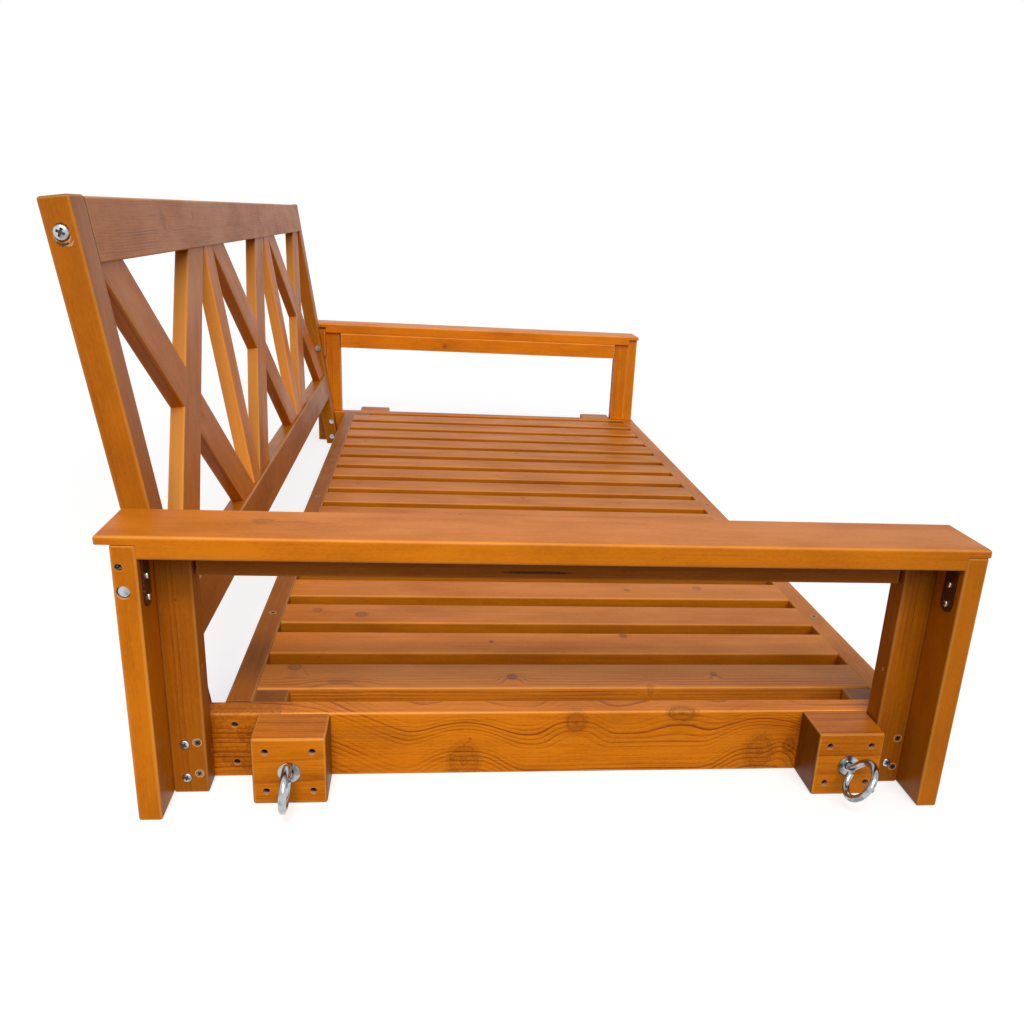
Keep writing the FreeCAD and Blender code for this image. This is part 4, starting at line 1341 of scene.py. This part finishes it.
    def set_of(self, name: str, head: Head, places: list[tuple[Vector, Vector, float]], radius: float,
               height: float, shank: float, finish: bpy.types.Material) -> bpy.types.Object:
        """Grow one set of like fasteners.

        Args:
            name: name of the piece.
            head: shape of the head.
            places: point, outward direction and length below the point.
            radius: radius of the head.
            height: height of the head.
            shank: radius of the shank.
            finish: material of the set.

        Returns:
            The finished object.
        """
        return grow(name, self.head_tree(head), self.points(name + "_points", places),
                    {"Head Radius": radius, "Head Height": height, "Shank Radius": shank,
                     "Slot Width": self.slot_width * radius / self.screw_head,
                     "Slot Length": self.slot_reach * radius,
                     "Slot Depth": self.slot_depth * radius / self.screw_head, "Seed": self.seed,
                     "Finish": finish})

    def build(self, zinc: bpy.types.Material, dulled: bpy.types.Material, yellow: bpy.types.Material,
              bronze: bpy.types.Material, bare: bpy.types.Material) -> None:
        """Build the screws and bolts, dress the nuts and brackets and draw the bare rims.

        Args:
            zinc: bright plated finish of the bolts.
            dulled: tarnished plated finish of the wood screws.
            yellow: yellow plated finish of the bracket screws.
            bronze: lacquer of the brackets.
            bare: unstained wood inside drilled holes.
        """
        dress("bolt_nuts", zinc)
        dress("corner_brackets", bronze)
        for name, node, slot, head, radius, height, finish in (
                ("cross_head_screws", "wood_screws", "zinc_hardware", Head.COUNTERSUNK,
                 self.screw_head, self.screw_height, dulled),
                ("bracket_pan_screws", "bracket_screws", "brass_screws", Head.PAN,
                 self.pan_head, self.pan_height, yellow)):
            places = [(seat.at, seat.outward, seat.run) for seat in seats_of(node)]
            piece = self.set_of(name, head, places, radius, height, self.screw_shank, finish)
            settle(piece, Body.FRAME, slot, node)
        self.bolts(zinc)
        self.rims(bare)
        self.torn_holes(bare)

    def bolts(self, zinc: bpy.types.Material) -> None:
        """Build the bolts of the posts, the back and the post edges as one piece.

        Args:
            zinc: bright plated finish.
        """
        sets = []
        for number, (head, radius, height, shank) in enumerate(self.bolt_kinds):
            places = [(seat.rim, seat.outward, seat.run - height) for seat in seats_of("machine_bolts")
                      if abs(seat.radius - radius) < self.like]
            sets.append(self.set_of(f"bolt_set_{number}", head, places, radius, height, shank, zinc))
        mesh = bmesh.new()
        for part in sets:
            mesh.from_mesh(part.data)
        mesh.to_mesh(sets[0].data)
        mesh.free()
        for part in sets[1:]:
            bpy.data.objects.remove(part)
        sets[0].name = "post_and_back_bolts"
        settle(sets[0], Body.FRAME, "zinc_hardware", "machine_bolts")

    def rim_tree(self) -> bpy.types.NodeTree:
        """Build the tree that lines each counterbore with a thin tube.

        Returns:
            The geometry tree.
        """
        tree, given = group_tree(
            "Bare bore", "GeometryNodeTree",
            {"Points": "Geometry", "Outer Radius": "Float", "Inner Radius": "Float", "Finish": "Material"},
            {"Geometry": "Geometry"})
        outer = put(tree, "GeometryNodeMeshCylinder",
                    {"Vertices": self.facets, "Radius": given["Outer Radius"], "Depth": 1.0})
        inner = put(tree, "GeometryNodeMeshCylinder",
                    {"Vertices": self.facets, "Radius": given["Inner Radius"], "Depth": 2.0})
        tube = put(tree, "GeometryNodeMeshBoolean", {"Mesh 1": outer, "Mesh 2": inner},
                   operation="DIFFERENCE", solver="EXACT")
        hung = put(tree, TRANSFORM, {"Geometry": tube, "Translation": (0.0, 0.0, -0.5)})
        # Depth down the tube, which the bare wood turns into painted shade
        spot = put(tree, "ShaderNodeSeparateXYZ", {0: put(tree, "GeometryNodeInputPosition")})
        down = put(tree, MATH, {0: spot.outputs[2], 1: -1.0}, operation="MULTIPLY")
        marked = put(tree, "GeometryNodeStoreNamedAttribute",
                     {"Geometry": hung, "Name": "depth", "Value": down}, data_type="FLOAT", domain="POINT")
        _, run, stand = self.stance(tree)
        stretch = put(tree, COMBINE, {"X": 1.0, "Y": 1.0, "Z": run})
        tubes = put(tree, "GeometryNodeInstanceOnPoints",
                    {"Points": given["Points"], "Instance": marked, "Rotation": stand, "Scale": stretch})
        whole = put(tree, "GeometryNodeRealizeInstances", {0: tubes})
        painted = put(tree, "GeometryNodeSetMaterial", {"Geometry": whole, "Material": given["Finish"]})
        put(tree, "NodeGroupOutput", {"Geometry": painted})
        return tree

    def rims(self, bare: bpy.types.Material) -> None:
        """Line the counterbores of screws and edge bolts with bare wood.

        Args:
            bare: unstained wood.
        """
        screws, bolts = [], []
        for node, depth in self.screw_bores.items():
            outer = self.end_faces(node)
            for seat in seats_of("wood_screws"):
                sunk = abs(outer[seat.outward.x < 0] - seat.at.x)
                if abs(seat.outward.x) > self.aligned and abs(sunk - depth) < self.near:
                    screws.append(self.mouth(seat, outer, depth))
        outer = self.end_faces("post_outer")
        for seat in seats_of("machine_bolts"):
            if abs(seat.radius - self.edge_bolt) < self.like:
                bolts.append(self.mouth(seat, outer, self.bolt_bore_depth))
        tree = self.rim_tree()
        head = self.screw_head
        for name, places, wide, bore in (
                ("bare_screw_bores", screws, self.screw_bore - self.flush, self.screw_bore - self.liner),
                ("bare_bolt_bores", bolts, self.bolt_bore - self.flush, self.bolt_bore - self.liner),
                ("bare_screw_rims", self.flush_screws(), head + self.rim_width, head + self.flush),
                ("bare_nail_holes", self.nail_holes(), self.nail_hole + self.rim_width, self.nail_hole)):
            piece = grow(name, tree, self.points(name + "_points", places),
                         {"Outer Radius": wide, "Inner Radius": bore, "Finish": bare})
            settle(piece, Body.FRAME, "plain_dowel")

    def flush_screws(self) -> list[tuple[Vector, Vector, float]]:
        """Find the screws that end flush with the long rails and the inner posts.

        Returns:
            Point, outward direction and depth of the bare rim round each.
        """
        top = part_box("rear_rail")[1].z
        ends = self.end_faces("post_inner")
        found = []
        for seat in seats_of("wood_screws"):
            gap = abs(seat.at.x - ends[seat.outward.x < 0])
            on_rail = seat.outward.z > self.aligned and abs(seat.at.z - top) < self.near
            on_post = abs(seat.outward.x) > self.aligned and gap < self.near
            if on_rail or on_post:
                found.append((seat.at + seat.outward * self.rim_lift, seat.outward, 2 * self.rim_lift))
        return found

    def nail_holes(self) -> list[tuple[Vector, Vector, float]]:
        """Place the nail holes on the sides of the inner posts that face each other.

        Returns:
            Point, outward direction and depth of the bare rim round each.
        """
        found = []
        for corner, inset, height in self.nails:
            outward = -AXIS_Y if corner == "rear" else AXIS_Y
            low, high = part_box("post_inner_left_" + corner)
            face = (low.y if corner == "rear" else high.y) + outward.y * self.rim_lift
            for end in (-1.0, 1.0):
                at = Vector((end * (abs(low.x) - inset * MM), face, height * MM))
                found.append((at, outward, 2 * self.rim_lift))
        return found

    def torn_holes(self, bare: bpy.types.Material) -> None:
        """Lay the torn wood round the upper bolts of the back, with painted shadow in its dark strips.

        Args:
            bare: unstained wood.
        """
        corners, painted_shade, faces = [], [], []
        ends, least, most = self.tear_swell
        dice = random.Random(self.seed)
        bolts = [seat for seat in seats_of("machine_bolts") if seat.rim.z > self.torn_above]
        for seat in bolts:
            side = seat.outward.cross(AXIS_Z)
            for start, stop, near, wide, lift, depth in self.tears:
                first = len(corners)
                for step in range(self.tear_steps + 1):
                    share = step / self.tear_steps
                    angle = math.radians(start + (stop - start) * share)
                    ray = side * math.cos(angle) + AXIS_Z * math.sin(angle)
                    far = near + wide * (ends + math.sin(math.pi * share) * dice.uniform(least, most))
                    for reach, height in ((near, self.tear_foot), (near, lift), (far, lift),
                                          (far, self.tear_foot)):
                        corners.append(seat.rim + (ray * reach + seat.outward * height) * MM)
                        painted_shade.append(depth)
                for step in range(self.tear_steps):
                    for k in range(4):
                        here, there = first + 4 * step + k, first + 4 * step + (k + 1) % 4
                        faces.append((here, there, there + 4, here + 4))
                last = first + 4 * self.tear_steps
                faces += [(first + 3, first + 2, first + 1, first), (last, last + 1, last + 2, last + 3)]
        mesh = bpy.data.meshes.new("torn_bolt_holes")
        mesh.from_pydata(corners, [], faces)
        mesh.attributes.new("depth", "FLOAT", "POINT").data.foreach_set("value", painted_shade)
        shell = bmesh.new()
        shell.from_mesh(mesh)
        bmesh.ops.recalc_face_normals(shell, faces=shell.faces)
        shell.to_mesh(mesh)
        shell.free()
        mesh.materials.append(bare)
        piece = bpy.data.objects.new("torn_bolt_holes", mesh)
        bpy.context.scene.collection.objects.link(piece)
        settle(piece, Body.FRAME, "plain_dowel")

    def mouth(self, seat: Seat, outer: tuple[float, float], depth: float) -> tuple[Vector, Vector, float]:
        """Find where a counterbore opens.

        Args:
            seat: place of the fastener in it.
            outer: outer faces of the board at the right and the left end of the bed.
            depth: depth of the counterbore.

        Returns:
            Point, outward direction and length of its lining.
        """
        at = Vector((outer[seat.outward.x < 0] - seat.outward.x * self.flush, seat.at.y, seat.at.z))
        return at, seat.outward, depth - 2 * self.flush

    @staticmethod
    def end_faces(node: str) -> tuple[float, float]:
        """Find how far pieces of one kind reach at the right and at the left end of the bed.

        Args:
            node: start of the names of the pieces.

        Returns:
            The highest and the lowest X, in metres.
        """
        boxes = [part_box(name) for name in frame["nodes"] if name.startswith(node)]
        return max(high.x for _, high in boxes), min(low.x for low, _ in boxes)


@dataclass
class Studio:
    """Pale floor, soft light and the camera.

    Attributes:
        place: position of the camera, in metres.
        turn_deg: turn of the camera, in degrees.
        lens_mm: focal length.
        sensor_mm: width of the sensor.
        clip_start: distance at which the camera begins to see, in metres.
        shift: shift of the picture.
        floor_size: side of the floor, in metres.
        floor_gap: distance of the floor below the bed.
        floor_colour: colour of the floor.
        floor_bounce: colour of the floor to the light below the bed.
        floor_glow: light of the floor that makes it white to the eye.
        sky: strength of the light from all round.
        sky_colour: colour of the light from all round.
        wide_place: where the wide light hangs.
        wide_power: strength of the wide light.
        wide_angle_deg: spread of the wide light.
        wide_colour: colour of the wide light.
        box_place: where the soft box hangs.
        box_aim: point that the soft box faces.
        box_size: side of the soft box, in metres.
        box_power: power of the soft box.
        box_spread_deg: spread that the grid leaves.
        box_colour: colour of the soft box.
    """

    place: tuple[float, float, float] = (-2.2253, 0.1300, 0.6887)
    turn_deg: tuple[float, float, float] = (68.635, -3.138, -96.875)
    lens_mm: float = 35.69
    sensor_mm: float = 36.0
    clip_start: float = 0.05
    shift: tuple[float, float] = (-0.0461, 0.1010)
    floor_size: float = 60.0
    floor_gap: float = 0.5 * MM
    floor_colour: str = "#B6B6B5"
    floor_bounce: str = "#7C7A78"
    floor_glow: float = 0.68
    sky: float = 0.43
    sky_colour: str = "#F3F6FF"
    wide_place: tuple[float, float, float] = (-4.0, -0.6, 2.9)
    wide_power: float = 1.75
    wide_angle_deg: float = 40.0
    wide_colour: str = "#FFFBF4"
    box_place: tuple[float, float, float] = (-3.3, 0.45, 2.9)
    box_aim: tuple[float, float, float] = (-1.1, 0.26, 0.32)
    box_size: float = 0.6
    box_power: float = 2.0
    box_spread_deg: float = 36.0
    box_colour: str = "#FFF6EA"

    def camera(self) -> None:
        """Set the camera at the photograph's viewing angle."""
        data = bpy.data.cameras.new("camera")
        data.sensor_width = self.sensor_mm
        data.lens = self.lens_mm
        data.shift_x, data.shift_y = self.shift
        data.clip_start = self.clip_start
        data.dof.use_dof = False
        eye = bpy.data.objects.new("camera", data)
        eye.location = self.place
        eye.rotation_euler = [math.radians(turn) for turn in self.turn_deg]
        bpy.context.scene.collection.objects.link(eye)
        bpy.context.scene.camera = eye

    @staticmethod
    def eye_rays(tree: bpy.types.NodeTree) -> bpy.types.Node:
        """Tell rays that a viewer sees, straight or by reflection, from rays that only light things.

        Args:
            tree: tree of a stage material or the world.

        Returns:
            The node that gives 1 for rays that a viewer sees.
        """
        path = put(tree, "ShaderNodeLightPath")
        seen = put(tree, MATH, {0: path.outputs["Is Camera Ray"], 1: path.outputs["Is Glossy Ray"]},
                   operation="MAXIMUM")
        return put(tree, MATH, {0: seen, 1: path.outputs["Is Transmission Ray"]}, operation="MAXIMUM")

    def floor(self) -> None:
        """Lay the pale floor, white to the eye and plain to the light below the bed."""
        half = self.floor_size / 2
        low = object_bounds()[0][2] - self.floor_gap
        mesh = bpy.data.meshes.new("floor")
        mesh.from_pydata([(-half, -half, low), (half, -half, low), (half, half, low), (-half, half, low)],
                         [], [(0, 1, 2, 3)])
        floor = bpy.data.objects.new("floor", mesh)
        material, tree = blank_material("pale_floor")
        ground = put(tree, "ShaderNodeBsdfDiffuse", {"Color": linear(self.floor_bounce)})
        pale = put(tree, "ShaderNodeBsdfDiffuse", {"Color": linear(self.floor_colour)})
        glow = put(tree, "ShaderNodeEmission", {"Color": (1.0, 1.0, 1.0, 1.0), "Strength": self.floor_glow})
        bright = put(tree, "ShaderNodeAddShader", {0: pale, 1: glow})
        mix = put(tree, "ShaderNodeMixShader", {0: self.eye_rays(tree), 1: ground, 2: bright})
        put(tree, "ShaderNodeOutputMaterial", {"Surface": mix})
        mesh.materials.append(material)
        bpy.context.scene.collection.objects.link(floor)
        floor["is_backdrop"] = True

    def world(self) -> None:
        """Light the bed evenly from all round, in front of a white background."""
        world = bpy.data.worlds.new("studio")
        world.use_nodes = True
        tree = world.node_tree
        tree.nodes.clear()
        lit = put(tree, "ShaderNodeBackground", {"Color": linear(self.sky_colour), "Strength": self.sky})
        white = put(tree, "ShaderNodeBackground", {"Color": (1.0, 1.0, 1.0, 1.0), "Strength": 1.0})
        mix = put(tree, "ShaderNodeMixShader", {0: self.eye_rays(tree), 1: lit, 2: white})
        put(tree, "ShaderNodeOutputWorld", {"Surface": mix})
        bpy.context.scene.world = world

    @staticmethod
    def hang(name: str, data: bpy.types.Light, place: Vector, aim: Vector) -> None:
        """Hang a lamp.

        Args:
            name: name of the lamp.
            data: the lamp.
            place: where it hangs, in metres.
            aim: point that it faces.
        """
        lamp = bpy.data.objects.new(name, data)
        lamp.location = place
        lamp.rotation_euler = (place - aim).to_track_quat("Z", "Y").to_euler()
        bpy.context.scene.collection.objects.link(lamp)

    def lamps(self) -> None:
        """Hang a wide soft light over the near end and a gridded soft box beside it."""
        wide = bpy.data.lights.new("wide_light", "SUN")
        wide.energy = self.wide_power
        wide.angle = math.radians(self.wide_angle_deg)
        wide.color = linear(self.wide_colour)[:3]
        self.hang("wide_light", wide, Vector(self.wide_place), Vector((0.0, 0.0, 0.0)))
        box = bpy.data.lights.new("soft_box", "AREA")
        box.shape = "SQUARE"
        box.size = self.box_size
        box.energy = self.box_power
        box.spread = math.radians(self.box_spread_deg)
        box.color = linear(self.box_colour)[:3]
        self.hang("soft_box", box, Vector(self.box_place), Vector(self.box_aim))

    def build(self) -> None:
        """Set up the floor, the light and the camera."""
        self.floor()
        self.world()
        self.lamps()
        self.camera()


def main() -> None:
    """Build and dress the bed in order, then the studio."""
    logging.basicConfig(level=logging.INFO, format="%(name)s: %(message)s")
    scene = bpy.context.scene
    scene.view_settings.view_transform = "Standard"
    timber = Timber(StainedFir())
    zinc = PlatedSteel("bright_zinc_plate", "#B4BABD", "#868D91", 0.17, grime_and_shade="#4B4A48").material()
    satin = PlatedSteel("satin_zinc_plate", "#C3C7C9", "#92979A", 0.28, grime_and_shade="#5E5C5A").material()
    dulled = PlatedSteel("tarnished_zinc_plate", "#8C846F", "#544C3C", 0.36).material()
    yellow = PlatedSteel("yellow_zinc_plate", "#CFC8B4", "#948A70", 0.24).material()
    bronze = BronzeLacquer().material()
    bare = BareWood("bare_drilled_fir").material()
    Deck().build(timber)
    Posts().build(timber)
    Arms().build(timber)
    LeaningBack().build(timber, BareWood("plain_dowel", "#E6C79A", "#C79B66"))
    Hangers().build(timber, zinc)
    Fasteners().build(satin, dulled, yellow, bronze, bare)
    Studio().build()


if __name__ == "__main__":
    main()
